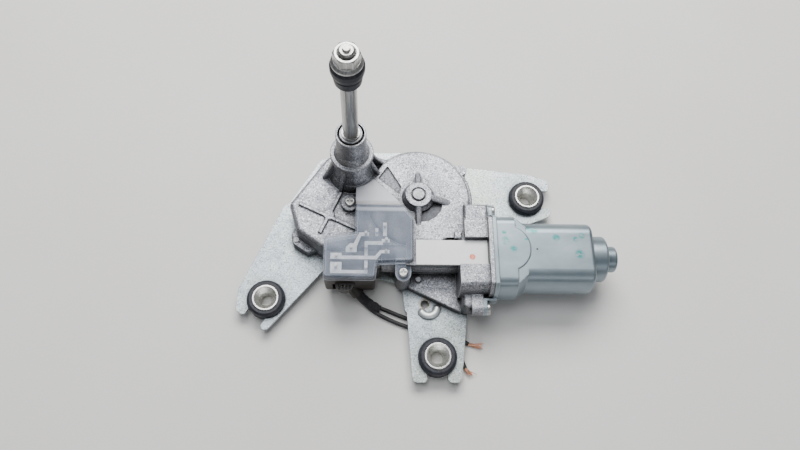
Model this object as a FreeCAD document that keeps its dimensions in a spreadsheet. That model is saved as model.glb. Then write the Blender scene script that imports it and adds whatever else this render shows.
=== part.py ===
import FreeCAD, Part
import math
import os
import Sketcher

# Rear wiper motor assembly, in millimetres.
# Origin: on the output shaft's axis, in the plane of the three mounting sleeves' feet.
# +Z runs up the output shaft, +X runs along the motor towards its tail.

V = FreeCAD.Vector
UP = V(0, 0, 1)
ALONG_X = FreeCAD.Rotation(V(0, 1, 0), 90)
ALONG_Y = FreeCAD.Rotation(V(1, 0, 0), -90)

# ---------------------------------------------------------------- driving dimensions
DIMENSIONS = {
    # bracket plate and gasket
    "plate_bottom": 5.4, "plate_thick": 2.2, "gasket_thick": 0.4,
    # gear housing
    "pod_top": 30.0, "wall": 2.2, "disc_radius": 35.0, "disc_ledge": 28.5, "disc_top": 32.0,
    "disc_top_radius": 32.8, "disc_cavity": 33.0, "ear_top": 15.0, "web_top": 13.0,
    # shaft tower
    "tower_radius": 11.6, "shoulder_low": 52.6, "shoulder_top": 56.1, "shoulder_radius": 13.3,
    "rim_top": 78.4, "rim_radius": 9.05, "tower_bore": 6.2, "rim_bore": 7.9, "rim_depth": 6.0,
    # output shaft, nut and cap
    "shaft_radius": 4.45, "shaft_foot": 8.7, "thread_radius": 4.0, "thread_foot": 141.0,
    "shaft_top": 156.0, "pilot_radius": 2.1, "shaft_tip": 157.6, "nut_foot": 146.0, "nut_top": 154.0,
    "nut_flats": 12.0, "nut_flange": 8.0, "nut_flange_thick": 1.8,
    "cap_foot": 131.0, "cap_radius": 8.8, "cap_neck": 5.6,
    # worm wheel and its pin
    "wheel_x": 41.8, "wheel_y": -18.7, "wheel_module": 1.2, "wheel_teeth": 52, "wheel_low": 18.0,
    "wheel_high": 27.0, "pin_radius": 4.0, "boss_radius": 8.4, "boss_top": 37.0, "boss_groove": 4.9,
    # worm and motor
    "motor_y": -55.5, "motor_z": 22.5, "worm_pitch": 5.6, "worm_turns": 6,
    "tube_cavity": 7.4, "tube_radius": 9.4, "tube_end": 19.0, "spindle_radius": 2.5,
    "flange_x": 87.0, "flange_thick": 2.4, "front_radius": 26.0, "front_half": 16.0, "front_end": 101.0,
    "can_radius": 22.0, "can_half": 15.5, "can_start": 107.5, "can_end": 149.5, "can_wall": 1.5,
    "step_radius": 14.4, "step_end": 158.6, "cup_radius": 8.2, "cup_end": 166.2, "ear_reach": 31.5,
    "block_low_x": 66.5, "core_radius": 12.9, "low_ear_step": 6.0,
    "low_ear_reach": 32.6,
    # output gearing
    "gear_module": 1.25, "pinion_teeth": 12, "sector_teeth": 24, "sector_low": 10.4,
    "sector_thick": 3.4, "lever_low": 14.2, "lever_thick": 2.2, "lever_angle": -108.4,
    "crank_radius": 9.0,
    # grommets and sleeves
    "rubber_radius": 12.0, "rubber_low": 0.6, "rubber_high": 12.3, "rubber_neck": 8.6,
    "sleeve_top": 13.0, "sleeve_flange": 8.2, "sleeve_outer": 5.2, "sleeve_bore": 4.1,
    # terminal cover and connector
    "cover_top": 38.0, "cover_wall": 1.3, "connector_top": 30.6, "connector_low": 9.5,
    "tube_top": 32.0,
    # harness
    "lead_radius": 1.3, "copper_radius": 1.0, "tape_radius": 3.1,
}

doc = FreeCAD.newDocument("wiper_motor")
sheet = doc.addObject("Spreadsheet::Sheet", "Dims")
nodes = {}


def add_cell(alias, value):
    row = len(cells) + 1
    sheet.set("A%d" % row, alias)
    sheet.set("B%d" % row, repr(value))
    sheet.setAlias("B%d" % row, alias)
    cells.append(alias)


cells = []
for word, amount in DIMENSIONS.items():
    add_cell(word, amount)


def add_outline(name, points):
    """Store an outline's corner centres as cells; return their expressions."""
    out = []
    for i, (x, y) in enumerate(points):
        add_cell("%s_x_%d" % (name, i), float(x))
        add_cell("%s_y_%d" % (name, i), float(y))
        out.append(("Dims.%s_x_%d" % (name, i), "Dims.%s_y_%d" % (name, i)))
    return out


# Outlines hold the centres of their corner arcs; the corner radius is added around them.
PLATE_CORE = add_outline("core", [(-38, -14), (-20, 16), (-4, 21), (36, 22), (70, 12), (94, 4),
                                  (94, -18), (79, -28), (69, -84), (38, -84), (36, -66), (-20, -50),
                                  (-42, -30)])
LEFT_ARM = add_outline("left", [(-43, -17), (-67.5, -73), (-68.2, -84.5), (-52.7, -95.4), (-12, -48)])
LOW_ARM = add_outline("low", [(36.6, -60), (38.2, -80), (41.6, -127), (65.9, -127), (70.4, -86),
                              (70.4, -60)])
RIGHT_ARM = add_outline("right", [(60, 14), (119, 7.4), (130, 3.6), (130, -17.6), (117, -22.8),
                                  (90, -21)])
POD = add_outline("pod", [(-34, -24), (-13.5, 6), (5, 9), (24, 4), (34, -20), (34, -48), (-14, -49),
                          (-29.5, -38.0)])
EAR = add_outline("ear", [(-36.8, -39.0), (-35.6, -43.6), (-28.0, -48.6), (-21.2, -46.6), (-21, -38),
                          (-34, -32)])
FILL = add_outline("fill", [(39.5, -44), (40, -38), (62, -34), (69, -26), (69, -44)])
BRIDGE = add_outline("bridge", [(13, -9), (13, 3), (20, 5.5), (31, 8.5), (41, 11), (41, -9)])
RECESS = add_outline("recess", [(17.4, -5.6), (22.4, 1.8), (30.4, -11.6), (29.6, -15.6)])
POCKET = add_outline("pocket", [(44.4, -21.2), (56.2, -22.2), (55.2, -27), (52, -31), (48, -33.4),
                                (44.4, -34)])
STRIP = add_outline("strip", [(-2.5, -55.8), (3.3, -55.8), (3.5, -51.9), (5.8, -45.6), (4.9, -44.9),
                              (2.1, -50.8), (-0.3, -50.8), (-2.5, -53.2)])
WEB = add_outline("web", [(36, -60), (38, -70), (44, -73), (68, -84.5), (70, -60)])
COVER = add_outline("cover", [(12.4, -8), (29.2, -26.6), (36.6, -35), (36.6, -60.4), (14.6, -61.8),
                              (13.6, -71.4), (-14.2, -71.4), (-14.2, -50), (4.6, -46.4), (4.6, -13.6)])
CONNECTOR = add_outline("conn", [(6, -44), (35, -36), (35, -60), (13.4, -64), (13.4, -71.2),
                                 (-14, -71.2), (-14, -52), (2, -52)])
doc.recompute()


def num(expression):
    return float(sheet.evalExpression(str(expression)))


def bind(obj, **properties):
    for key, expression in properties.items():
        obj.setExpression(key.replace("__", "."), str(expression))
    return obj


def place(obj, x="0", y="0", z="0", turn=None):
    if turn is not None:
        obj.Placement.Rotation = turn
    for axis, expression in (("x", x), ("y", y), ("z", z)):
        obj.setExpression("Placement.Base." + axis, str(expression))
    return obj


def origin_plane(body, role):
    return [item for item in body.Origin.OriginFeatures if item.Role == role][0]


def draw(sketch, points):
    """Close a polygon whose every corner is dimensioned from the sketch's origin."""
    spots = [V(num(a), num(b), 0) for a, b in points]
    count = len(spots)
    for i in range(count):
        sketch.addGeometry(Part.LineSegment(spots[i], spots[(i + 1) % count]))
    for i in range(count):
        sketch.addConstraint(Sketcher.Constraint("Coincident", i, 2, (i + 1) % count, 1))
    for i in range(count):
        for kind, value, expression in (("DistanceX", spots[i].x, points[i][0]),
                                        ("DistanceY", spots[i].y, points[i][1])):
            index = sketch.addConstraint(Sketcher.Constraint(kind, -1, 1, i, 1, value))
            if "Dims." in str(expression):
                sketch.setExpression("Constraints[%d]" % index, str(expression))


def body_sketch(body, name, role, points):
    sketch = body.newObject("Sketcher::SketchObject", name)
    sketch.AttachmentSupport = [(origin_plane(body, role), "")]
    sketch.MapMode = "FlatFace"
    draw(sketch, points)
    return sketch


def keep(label, obj):
    obj.Label = label
    nodes[label] = obj
    return obj


def turned(label, profile, x="0", y="0", z="0", turn=None):
    """A lathe-turned piece: profile is (radius, height) about its own axis."""
    body = doc.addObject("PartDesign::Body", "Body_" + label)
    sketch = body_sketch(body, "Profile_" + label, "XZ_Plane", profile)
    revolution = body.newObject("PartDesign::Revolution", "Turn_" + label)
    revolution.Profile = sketch
    revolution.ReferenceAxis = (sketch, ["V_Axis"])
    revolution.Angle = 360
    doc.recompute()
    return keep(label, place(body, x, y, z, turn))


def cylinder(name, radius, height, x="0", y="0", z="0", turn=None):
    obj = doc.addObject("Part::Cylinder", name)
    bind(obj, Radius=radius, Height=height)
    return place(obj, x, y, z, turn)


def cone(name, low, high, height, x="0", y="0", z="0", turn=None):
    obj = doc.addObject("Part::Cone", name)
    bind(obj, Radius1=low, Radius2=high, Height=height)
    return place(obj, x, y, z, turn)


def block(name, length, width, height, x, y, z, spin=0):
    obj = doc.addObject("Part::Box", name)
    bind(obj, Length=length, Width=width, Height=height)
    return place(obj, x, y, z, FreeCAD.Rotation(UP, spin))


def prism(name, outline, radius, low, height):
    """A flat plate with rounded corners: the outline's corner centres grown by a radius."""
    sketch = doc.addObject("Sketcher::SketchObject", "Outline_" + name)
    draw(sketch, outline)
    grown = doc.addObject("Part::Offset2D", "Grown_" + name)
    grown.Source = sketch
    bind(grown, Value=radius)
    solid = doc.addObject("Part::Extrusion", name)
    solid.Base = grown
    solid.DirMode = "Custom"
    solid.Dir = UP
    solid.Solid = True
    bind(solid, LengthFwd=height)
    doc.recompute()
    return place(solid, z=low)


def fuse(name, shapes):
    obj = doc.addObject("Part::MultiFuse", name)
    obj.Shapes = shapes
    obj.Refine = True
    doc.recompute()
    return obj


def cut(name, base, tools):
    tool = tools[0] if len(tools) == 1 else fuse(name + "_tools", tools)
    obj = doc.addObject("Part::Cut", name)
    obj.Base = base
    obj.Tool = tool
    obj.Refine = True
    doc.recompute()
    return obj


def common(name, shapes):
    obj = doc.addObject("Part::MultiCommon", name)
    obj.Shapes = shapes
    doc.recompute()
    return obj


def rounded(name, base, radius, wanted):
    """Round the edges of base for which wanted(edge) is true."""
    doc.recompute()
    obj = doc.addObject("Part::Fillet", name)
    obj.Base = base
    obj.Edges = [(i, radius, radius) for i, edge in enumerate(base.Shape.Edges, 1) if wanted(edge)]
    doc.recompute()
    return obj


def at_height(height):
    level = num(height)
    return lambda edge: all(abs(corner.Z - level) < 0.01 for corner in edge.Vertexes)


def feature(label, shape):
    obj = doc.addObject("Part::Feature", "Shape_" + label)
    obj.Shape = shape
    return keep(label, obj)


def group(label, objects):
    """Identical pieces that share one node, as separate solids."""
    obj = doc.addObject("Part::Compound", "Group_" + label)
    obj.Links = objects
    doc.recompute()
    return keep(label, obj)


PLATE_TOP = "(Dims.plate_bottom + Dims.plate_thick)"
FOOT = "(Dims.plate_bottom + Dims.plate_thick + Dims.gasket_thick)"
PIN_X = num("Dims.wheel_x")
PIN_Y = num("Dims.wheel_y")
GROMMETS = {"left": (-52.7, -79.5, -121.3), "low": (54.0, -115.0, -90.0), "right": (116.7, -7.9, 0.0)}
RIVET_SPOTS = [(-35.4, -42.0), (42.3, -67.6), (70.5, 3.0), (-18.7, 10.7)]
SIDES = (-1, 1)

# ---------------------------------------------------------------- bracket plate
ARM_ROUND = "3.2"
MOUTH_HALF = 6.3


def fork_slot(name, x, y, angle):
    """The open seat that a grommet snaps into: a round seat with a narrower mouth."""
    seat = cylinder(name + "_seat", "Dims.rubber_neck + 0.1", "6", str(x), str(y), "4")
    mouth = block(name + "_mouth", "24", str(2 * MOUTH_HALF), "6", str(x), str(y), "4", angle)
    side = math.radians(angle + 90)
    mouth.setExpression("Placement.Base.x", "%.3f" % (x - MOUTH_HALF * math.cos(side)))
    mouth.setExpression("Placement.Base.y", "%.3f" % (y - MOUTH_HALF * math.sin(side)))
    return [seat, mouth]


def at_prong_tip(edge):
    """True for the upright edges where a fork's mouth meets the end of its arm."""
    if len(edge.Vertexes) != 2 or abs(edge.tangentAt(edge.FirstParameter).z) < 0.99:
        return False
    for x, y, angle in GROMMETS.values():
        ahead = FreeCAD.Rotation(UP, angle).multVec(V(1, 0, 0))
        reach = edge.Vertexes[0].Point - V(x, y, edge.Vertexes[0].Z)
        across = abs(reach.cross(ahead).z)
        if reach.dot(ahead) > 8 and abs(across - MOUTH_HALF) < 0.01 and reach.Length < 24:
            return True
    return False


def bead():
    """A curved raised bead on the low arm, round-backed, with rounded ends."""
    centre = ("49.2", "-84.0", PLATE_TOP + " - 0.3")
    ring = doc.addObject("Part::Torus", "bead_ring")
    bind(ring, Radius1="5.2", Radius2="2.7", Angle3="137")
    place(ring, *centre, FreeCAD.Rotation(UP, 215))
    ends = []
    for angle in (215, 352):
        end = doc.addObject("Part::Sphere", "bead_end_%d" % angle)
        bind(end, Radius="2.7")
        ends.append(place(end, "%s + 5.2 * cos(%d)" % (centre[0], angle),
                          "%s + 5.2 * sin(%d)" % (centre[1], angle), centre[2]))
    above = block("bead_above", "20", "20", "6", "40", "-94", "Dims.plate_bottom + 0.3")
    return common("bead", [fuse("bead_whole", [ring] + ends), above])


def bracket_plate():
    low = "Dims.plate_bottom"
    thick = "Dims.plate_thick"
    parts = [prism("plate_core", PLATE_CORE, "4", low, thick),
             prism("plate_left", LEFT_ARM, ARM_ROUND, low, thick),
             prism("plate_low", LOW_ARM, ARM_ROUND, low, thick),
             prism("plate_right", RIGHT_ARM, ARM_ROUND, low, thick)]
    plate = fuse("plate_blank", parts + [bead()])
    holes = [cylinder("clip_hole", "2.6", "9", "46.8", "-81.6", "3")]
    for name, (x, y, angle) in GROMMETS.items():
        holes += fork_slot("slot_" + name, x, y, angle)
    for i, (x, y) in enumerate(RIVET_SPOTS):
        holes.append(cylinder("rivet_hole_%d" % i, "1.75", "6", str(x), str(y), "4"))
    keep("bracket_plate", rounded("plate_soft", cut("plate_cut", plate, holes), 2.4, at_prong_tip))


# ---------------------------------------------------------------- gear housing
def motor_section(name, radius, half, soft, x, length):
    """A round section flattened above and below the motor's axis, with softened edges."""
    centre = ("Dims.motor_y", "Dims.motor_z")
    round_bar = cylinder(name + "_bar", radius, length, x, centre[0], centre[1], ALONG_X)
    slab = block(name + "_slab", length, "2 * (%s)" % radius, "2 * (%s)" % half, x,
                 "Dims.motor_y - (%s)" % radius, "Dims.motor_z - (%s)" % half)
    section = common(name, [round_bar, slab])
    if soft == 0:
        return section
    start = num(x) + num(length) / 2
    return rounded(name + "_soft", section, soft,
                   lambda e: len(e.Vertexes) == 2 and abs(e.CenterOfMass.x - start) < 0.1
                   and e.Length > num(length) * 0.9)


def ear_line(side):
    """A motor screw's distance from the motor's axis, its Y, and how far back its ear is set."""
    reach, step = ("Dims.low_ear_reach", "Dims.low_ear_step") if side < 0 else ("Dims.ear_reach", "0")
    return reach, "Dims.motor_y + %d * %s" % (side, reach), step


def screw_ear(name, side, radius, x, length, inner):
    """A round-ended ear about a motor screw, running in towards the motor as far as inner."""
    reach, y, step = ear_line(side)
    start = "%s - %s" % (x, step)
    width = "%s - (%s)" % (reach, inner)
    near = y if side < 0 else "%s - (%s)" % (y, width)
    return [cylinder(name + "_eye", radius, length, start, y, "Dims.motor_z", ALONG_X),
            block(name + "_arm", length, width, "2 * " + radius, start, near,
                  "Dims.motor_z - %s" % radius)]


def screw_holes(name, x, length):
    holes = []
    for side in SIDES:
        reach, y, step = ear_line(side)
        holes.append(cylinder("%s_%d" % (name, side + 1), "2.05", length, "%s - %s" % (x, step), y,
                              "Dims.motor_z", ALONG_X))
    return holes


def rib(name, x0, y0, x1, y1, width, low, high):
    """A straight rib with a rounded crest, from one point to another."""
    length = math.hypot(x1 - x0, y1 - y0)
    angle = math.degrees(math.atan2(y1 - y0, x1 - x0))
    side = math.radians(angle + 90)
    bar = block(name, "%.3f" % length, str(width), "(%s) - (%s)" % (high, low),
                "%.3f" % (x0 - width / 2 * math.cos(side)), "%.3f" % (y0 - width / 2 * math.sin(side)),
                low, angle)
    return rounded(name + "_crest", bar, width * 0.32, at_height(high))


def gusset(name, x0, y0, x1, y1, width, low, high):
    """A round-backed web that falls from full height at its first point to nothing at its second."""
    length = math.hypot(x1 - x0, y1 - y0)
    angle = math.degrees(math.atan2(y1 - y0, x1 - x0))
    wedge = doc.addObject("Part::Wedge", name)
    bind(wedge, Xmin="0", Xmax="%.3f" % length, Ymin="0", Ymax="(%s) - (%s)" % (high, low),
         Zmin=str(-width / 2), Zmax=str(width / 2), X2min="0", X2max="%.3f" % (length * 0.16),
         Z2min=str(-width / 2), Z2max=str(width / 2))
    lay = FreeCAD.Rotation(UP, angle) * FreeCAD.Rotation(V(1, 0, 0), 90)
    place(wedge, str(x0), str(y0), low, lay)
    heading = V(x1 - x0, y1 - y0, 0).normalize()
    floor = num(low) + 0.5
    return rounded(name + "_crest", wedge, width * 0.34,
                   lambda e: e.CenterOfMass.z > floor
                   and abs(e.tangentAt(e.FirstParameter).dot(heading)) > 0.2)


def housing_outside():
    pod = rounded("pod_soft", prism("pod", POD, "5", FOOT, "Dims.pod_top - " + FOOT), 3.0,
                  at_height("Dims.pod_top"))
    disc_low = rounded("ledge_soft", cylinder("ledge", "Dims.disc_radius", "Dims.disc_ledge - " + FOOT,
                                              "Dims.wheel_x", "Dims.wheel_y", FOOT), 1.0,
                       at_height("Dims.disc_ledge"))
    disc_high = rounded("disc_soft", cylinder("disc", "Dims.disc_top_radius", "Dims.disc_top - " + FOOT,
                                              "Dims.wheel_x", "Dims.wheel_y", FOOT), 1.6,
                        at_height("Dims.disc_top"))
    nub = cylinder("nub", "3.6", "Dims.disc_ledge - " + FOOT, "70.5", "3", FOOT)
    back_nub = cylinder("back_nub", "3.6", "Dims.ear_top - " + FOOT, "-18.7", "10.7", FOOT)
    bridge = rounded("bridge_soft", prism("bridge", BRIDGE, "1.5", FOOT, "Dims.pod_top - " + FOOT), 1.2,
                     at_height("Dims.pod_top"))
    tube_bar = cylinder("tube_bar", "Dims.tube_radius", "Dims.flange_x - Dims.tube_end", "Dims.tube_end",
                        "Dims.motor_y", "Dims.motor_z", ALONG_X)
    tube_cap = block("tube_cap", "Dims.flange_x - 34", "16.4", "Dims.tube_top - Dims.motor_z", "34",
                     "Dims.motor_y - 8.2", "Dims.motor_z")
    tube_foot = block("tube_foot", "Dims.flange_x - Dims.tube_end - 6", "15",
                      "Dims.motor_z - " + FOOT, "Dims.tube_end + 6", "Dims.motor_y - 7.5", FOOT)
    web = rounded("web_soft", prism("web", WEB, "3", FOOT, "Dims.web_top - " + FOOT), 1.0,
                  at_height("Dims.web_top"))
    ear = rounded("ear_soft", prism("ear", EAR, "2", FOOT, "Dims.ear_top - " + FOOT), 1.0,
                  at_height("Dims.ear_top"))
    fill = prism("fill", FILL, "1.5", FOOT, "Dims.disc_top - " + FOOT)
    foot_end = "Dims.flange_x - Dims.low_ear_step"
    motor_foot = rounded("foot_soft", block("motor_foot", foot_end + " - 68.8", "15.2",
                                            "26 - " + FOOT, "68.8", "-88.4", FOOT), 2.4,
                         lambda e: e.BoundBox.YMax < -88.3 or e.BoundBox.ZMin > 25.9)
    motor_x = "Dims.block_low_x"
    motor_run = "Dims.flange_x - Dims.block_low_x"
    motor_block = motor_section("block", "Dims.front_radius - 1", "13.6", 3.0, motor_x, motor_run)
    raised = rounded("raised_soft", block("raised", "15", "22.5", "Dims.boss_top - 1 - Dims.motor_z",
                                          "70", "-46.6", "Dims.motor_z"), 2.0,
                     at_height("Dims.boss_top - 1"))
    tab = rounded("tab_soft", block("tab", "4.6", "4.4", "Dims.disc_top + 1.8 - Dims.motor_z", "63.8",
                                    "-46.6", "Dims.motor_z"), 0.8, at_height("Dims.disc_top + 1.8"))
    channel = block("channel", "30", "17.3", "9", "60", "Dims.motor_y - 8.3", "Dims.tube_top")
    corner = block("block_corner", "12", "28", "12", "58", "-47.2", "Dims.disc_top")
    motor_block = cut("block_channel", motor_block, [channel, corner])
    flange = motor_section("case_flange", "Dims.front_radius + 0.6", "Dims.front_half + 0.6", 0,
                           "Dims.flange_x - 2.6", "2.6")
    return ([pod, disc_low, disc_high, nub, back_nub, bridge, tube_bar, tube_cap, tube_foot, web, ear,
             fill, motor_foot, motor_block, raised, tab, flange]
            + screw_ear("case_ear_low", -1, "4.3", "Dims.flange_x - 7", "7", "20")
            + screw_ear("case_ear_high", 1, "4.6", "Dims.flange_x - 7", "7", "20"))


def housing_tower():
    tower = cylinder("tower", "Dims.tower_radius", "Dims.shoulder_low - " + FOOT, z=FOOT)
    flare = cone("flare", "Dims.tower_radius + 3.0", "Dims.tower_radius - 0.2", "15", z="Dims.pod_top - 2")
    skirt = cone("skirt", "Dims.tower_radius + 5.2", "Dims.tower_radius + 1.6", "7", z="Dims.pod_top - 2")
    shoulder = rounded("shoulder_soft", cylinder("shoulder", "Dims.shoulder_radius",
                                                 "Dims.shoulder_top - Dims.shoulder_low",
                                                 z="Dims.shoulder_low"), 0.7,
                       lambda e: True)
    taper = cone("taper", "Dims.tower_radius - 0.4", "Dims.rim_radius", "6", z="Dims.shoulder_top - 1")
    rim = rounded("rim_soft", cylinder("rim", "Dims.rim_radius", "Dims.rim_top - Dims.shoulder_low",
                                       z="Dims.shoulder_low"), 0.5, at_height("Dims.rim_top"))
    low = "Dims.pod_top - 1"
    high = "Dims.shoulder_low - 1"
    webs = [gusset("tower_web_left", -9, -2.5, -19.6, -5.4, 2.6, low, high),
            gusset("tower_web_low", -4.2, -8.2, -8, -16.4, 2.6, low, high),
            gusset("tower_web_right", 9, -1.2, 18.6, -2.4, 2.6, low, high),
            gusset("tower_web_back", 8, 3.4, 20.4, 6.4, 2.6, low, high)]
    return [tower, flare, skirt, shoulder, taper, rim] + webs


def housing_details():
    boss = rounded("boss_soft", cylinder("boss", "Dims.boss_radius", "Dims.boss_top - 20", "Dims.wheel_x",
                                         "Dims.wheel_y", "20"), 0.6, at_height("Dims.boss_top"))
    low = "Dims.disc_top - 1"
    high = "Dims.boss_top - 0.6"
    webs = [gusset("boss_web_up", PIN_X, PIN_Y + 6, PIN_X, PIN_Y + 20, 3.6, low, high),
            gusset("boss_web_right", PIN_X + 6, PIN_Y - 1, PIN_X + 23, PIN_Y - 4, 4.4, low, high),
            gusset("boss_web_low", PIN_X, PIN_Y - 6, PIN_X, PIN_Y - 21.5, 4.0, low, high)]
    root = cone("boss_root", "Dims.boss_radius + 2.6", "Dims.boss_radius", "3", "Dims.wheel_x",
                "Dims.wheel_y", "Dims.disc_top - 0.6")
    cross_low = "Dims.pod_top - 0.5"
    cross_high = "Dims.pod_top + 1.5"
    ribs = [rib("cross_a", -33, -23.4, 8, -42.4, 2.4, cross_low, cross_high),
            rib("cross_b", -7, -15.5, -19.4, -43.2, 2.4, cross_low, cross_high)]
    hub = rounded("hub_soft", cylinder("cross_hub", "3.4", "2", "-14", "-30.9", cross_low), 0.7,
                  at_height(cross_high))
    screw_seat = rounded("seat_soft", cylinder("screw_seat", "5.6", "4.4", "-1.1", "-23.6",
                                               "Dims.pod_top - 0.5"), 0.8, at_height("Dims.pod_top + 3.9"))
    cover_post = cylinder("cover_post", "4.6", "28.0 - " + FOOT, "32.3", "-68.2", FOOT)
    post_root = block("post_root", "9.2", "12", "28.0 - " + FOOT, "27.7", "-68.2", FOOT)
    return [boss, root, hub, screw_seat, cover_post, post_root] + webs + ribs


def housing_inside():
    deep = FOOT + " - 1"
    ceiling = "Dims.pod_top - Dims.wall - (%s)" % deep
    pod = prism("pod_hollow", POD, "5 - Dims.wall", deep, ceiling)
    disc = cylinder("disc_hollow", "Dims.disc_cavity", "Dims.disc_top - Dims.wall - (%s)" % deep,
                    "Dims.wheel_x", "Dims.wheel_y", deep)
    passage = block("passage", "36", "18", ceiling, "4", "-30", deep)
    tube = cylinder("worm_hollow", "Dims.tube_cavity", "Dims.flange_x - 17", "17", "Dims.motor_y",
                    "Dims.motor_z", ALONG_X)
    brush_room = motor_section("brush_room", "Dims.front_radius - 6.5", "8.6", 0,
                               "Dims.block_low_x + 1.6", "Dims.flange_x - Dims.block_low_x")
    bore = cylinder("tower_hole", "Dims.tower_bore", "Dims.rim_top", z=deep)
    mouth = cylinder("rim_hole", "Dims.rim_bore", "Dims.rim_depth + 1", z="Dims.rim_top - Dims.rim_depth")
    pin = cylinder("pin_hole", "Dims.pin_radius + 0.02", "30", "Dims.wheel_x", "Dims.wheel_y", "20")
    groove = cylinder("pin_groove", "Dims.boss_groove", "1.2", "Dims.wheel_x", "Dims.wheel_y",
                      "Dims.boss_top - 1")
    recess = prism("recess", RECESS, "0.8", "Dims.disc_top - 1.3", "4")
    pocket = prism("pocket", POCKET, "1.2", "Dims.disc_top - 1.1", "1.6")
    seat = cylinder("seat_hole", "1.6", "9", "-1.1", "-23.6", "Dims.pod_top - 2")
    cover_hole = cylinder("cover_hole", "1.6", "9", "32.3", "-68.2", "20.5")
    tails = [cylinder("rivet_seat_%d" % i, "1.75", "20", str(x), str(y), "4")
             for i, (x, y) in enumerate(RIVET_SPOTS)]
    hollows = [pod, disc, passage, tube, brush_room, bore, mouth, pin, groove, recess, pocket, seat,
               cover_hole]
    return hollows + tails + screw_holes("flange_hole", "Dims.flange_x - 8", "12")


def gear_housing():
    hub_post = cylinder("hub_post", "6.4", "5", "Dims.wheel_x", "Dims.wheel_y", "27.3")
    sleeve = cylinder("tower_sleeve", "Dims.tower_bore + 2.4", "14", z="18")
    solid = fuse("case_solid", housing_outside() + housing_tower() + housing_details())
    hollow = cut("case_hollow", solid, housing_inside())
    inner = cut("case_inner", fuse("inner_posts", [hub_post, sleeve]),
                [cylinder("hub_bore", "Dims.pin_radius + 0.02", "9", "Dims.wheel_x", "Dims.wheel_y", "25"),
                 cylinder("sleeve_bore", "Dims.tower_bore", "20", z="16")])
    keep("gear_housing", fuse("case", [hollow, inner]))


def housing_gasket():
    outer = fuse("gasket_outer", [prism("gasket_pod", POD, "4.6", PLATE_TOP, "Dims.gasket_thick"),
                                  cylinder("gasket_disc", "Dims.disc_radius - 0.4", "Dims.gasket_thick",
                                           "Dims.wheel_x", "Dims.wheel_y", PLATE_TOP)])
    inner = [prism("gasket_hole_pod", POD, "3.2", "7", "3"),
             cylinder("gasket_hole_disc", "Dims.disc_cavity + 0.4", "3", "Dims.wheel_x", "Dims.wheel_y",
                      "7")]
    inner += [cylinder("gasket_rivet_%d" % i, "1.8", "3", str(x), str(y), "7")
              for i, (x, y) in enumerate(RIVET_SPOTS)]
    keep("housing_gasket", cut("gasket", outer, inner))


def housing_rivets():
    pins = []
    for i, (x, y) in enumerate(RIVET_SPOTS):
        low = cylinder("rivet_foot_%d" % i, "3.2", "1.4", str(x), str(y), "Dims.plate_bottom - 1.4")
        shank = cylinder("rivet_shank_%d" % i, "1.7", "Dims.ear_top + 0.6 - Dims.plate_bottom", str(x),
                         str(y), "Dims.plate_bottom")
        pins.append(fuse("rivet_%d" % i, [low, shank]))
    group("housing_rivets", pins)


# ---------------------------------------------------------------- output shaft and what sits on it
def output_parts():
    shaft = [("0", "Dims.shaft_foot"), ("Dims.shaft_radius - 0.6", "Dims.shaft_foot"),
             ("Dims.shaft_radius", "Dims.shaft_foot + 0.6"), ("Dims.shaft_radius", "Dims.thread_foot - 1"),
             ("Dims.thread_radius - 0.5", "Dims.thread_foot"),
             ("Dims.thread_radius", "Dims.thread_foot + 1.2"),
             ("Dims.thread_radius", "Dims.shaft_top - 0.7"),
             ("Dims.thread_radius - 0.7", "Dims.shaft_top"), ("Dims.pilot_radius", "Dims.shaft_top"),
             ("Dims.pilot_radius - 0.3", "Dims.shaft_tip"), ("0", "Dims.shaft_tip")]
    turned("output_shaft", shaft)
    clear = "Dims.cap_neck - 1.08"
    cap = [(clear, "Dims.cap_foot"), ("Dims.cap_neck + 0.9", "Dims.cap_foot"),
           ("Dims.cap_neck + 1.6", "Dims.cap_foot + 1"), ("Dims.cap_neck + 2.2", "Dims.cap_foot + 6"),
           ("Dims.cap_neck + 1.5", "Dims.cap_foot + 6.7"), ("Dims.cap_neck + 2.6", "Dims.cap_foot + 7.6"),
           ("Dims.cap_radius", "Dims.cap_foot + 10.5"), ("Dims.cap_radius", "Dims.cap_foot + 13.2"),
           ("Dims.cap_radius - 1.4", "Dims.nut_foot"), (clear, "Dims.nut_foot")]
    turned("shaft_cap", cap)
    hexagon = doc.addObject("Part::Prism", "nut_hex")
    hexagon.Polygon = 6
    bind(hexagon, Circumradius="Dims.nut_flats / 2 / cos(30)", Height="Dims.nut_top - Dims.nut_foot")
    place(hexagon, z="Dims.nut_foot", turn=FreeCAD.Rotation(UP, 1.5))
    corner = "Dims.nut_flats / 2 - 0.15"
    chamfered = common("nut_chamfer", [hexagon, crown_bar(corner)])
    flange = cone("nut_skirt", "Dims.nut_flange", "Dims.nut_flats / 2 + 0.6", "Dims.nut_flange_thick * 0.6",
                  z="Dims.nut_foot + Dims.nut_flange_thick * 0.6")
    disc = cylinder("nut_disc", "Dims.nut_flange", "Dims.nut_flange_thick * 0.6", z="Dims.nut_foot")
    solid = fuse("nut_solid", [chamfered, flange, disc])
    keep("arm_nut", cut("nut", solid, [
        cylinder("nut_bore", "Dims.thread_radius + 0.02", "20", z="Dims.nut_foot - 5"),
        cone("nut_sink", "Dims.thread_radius", "Dims.thread_radius + 0.9", "1", z="Dims.nut_top - 0.9")]))


def crown_bar(corner):
    """A turned blank that trims the hexagon's upper corners at thirty degrees."""
    low = cylinder("nut_blank_low", "9", "Dims.nut_top - Dims.nut_foot - 1.2", z="Dims.nut_foot")
    top = cone("nut_blank_top", corner + " + 2.08", corner, "1.2", z="Dims.nut_top - 1.2")
    return fuse("nut_blank", [low, top])


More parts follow.
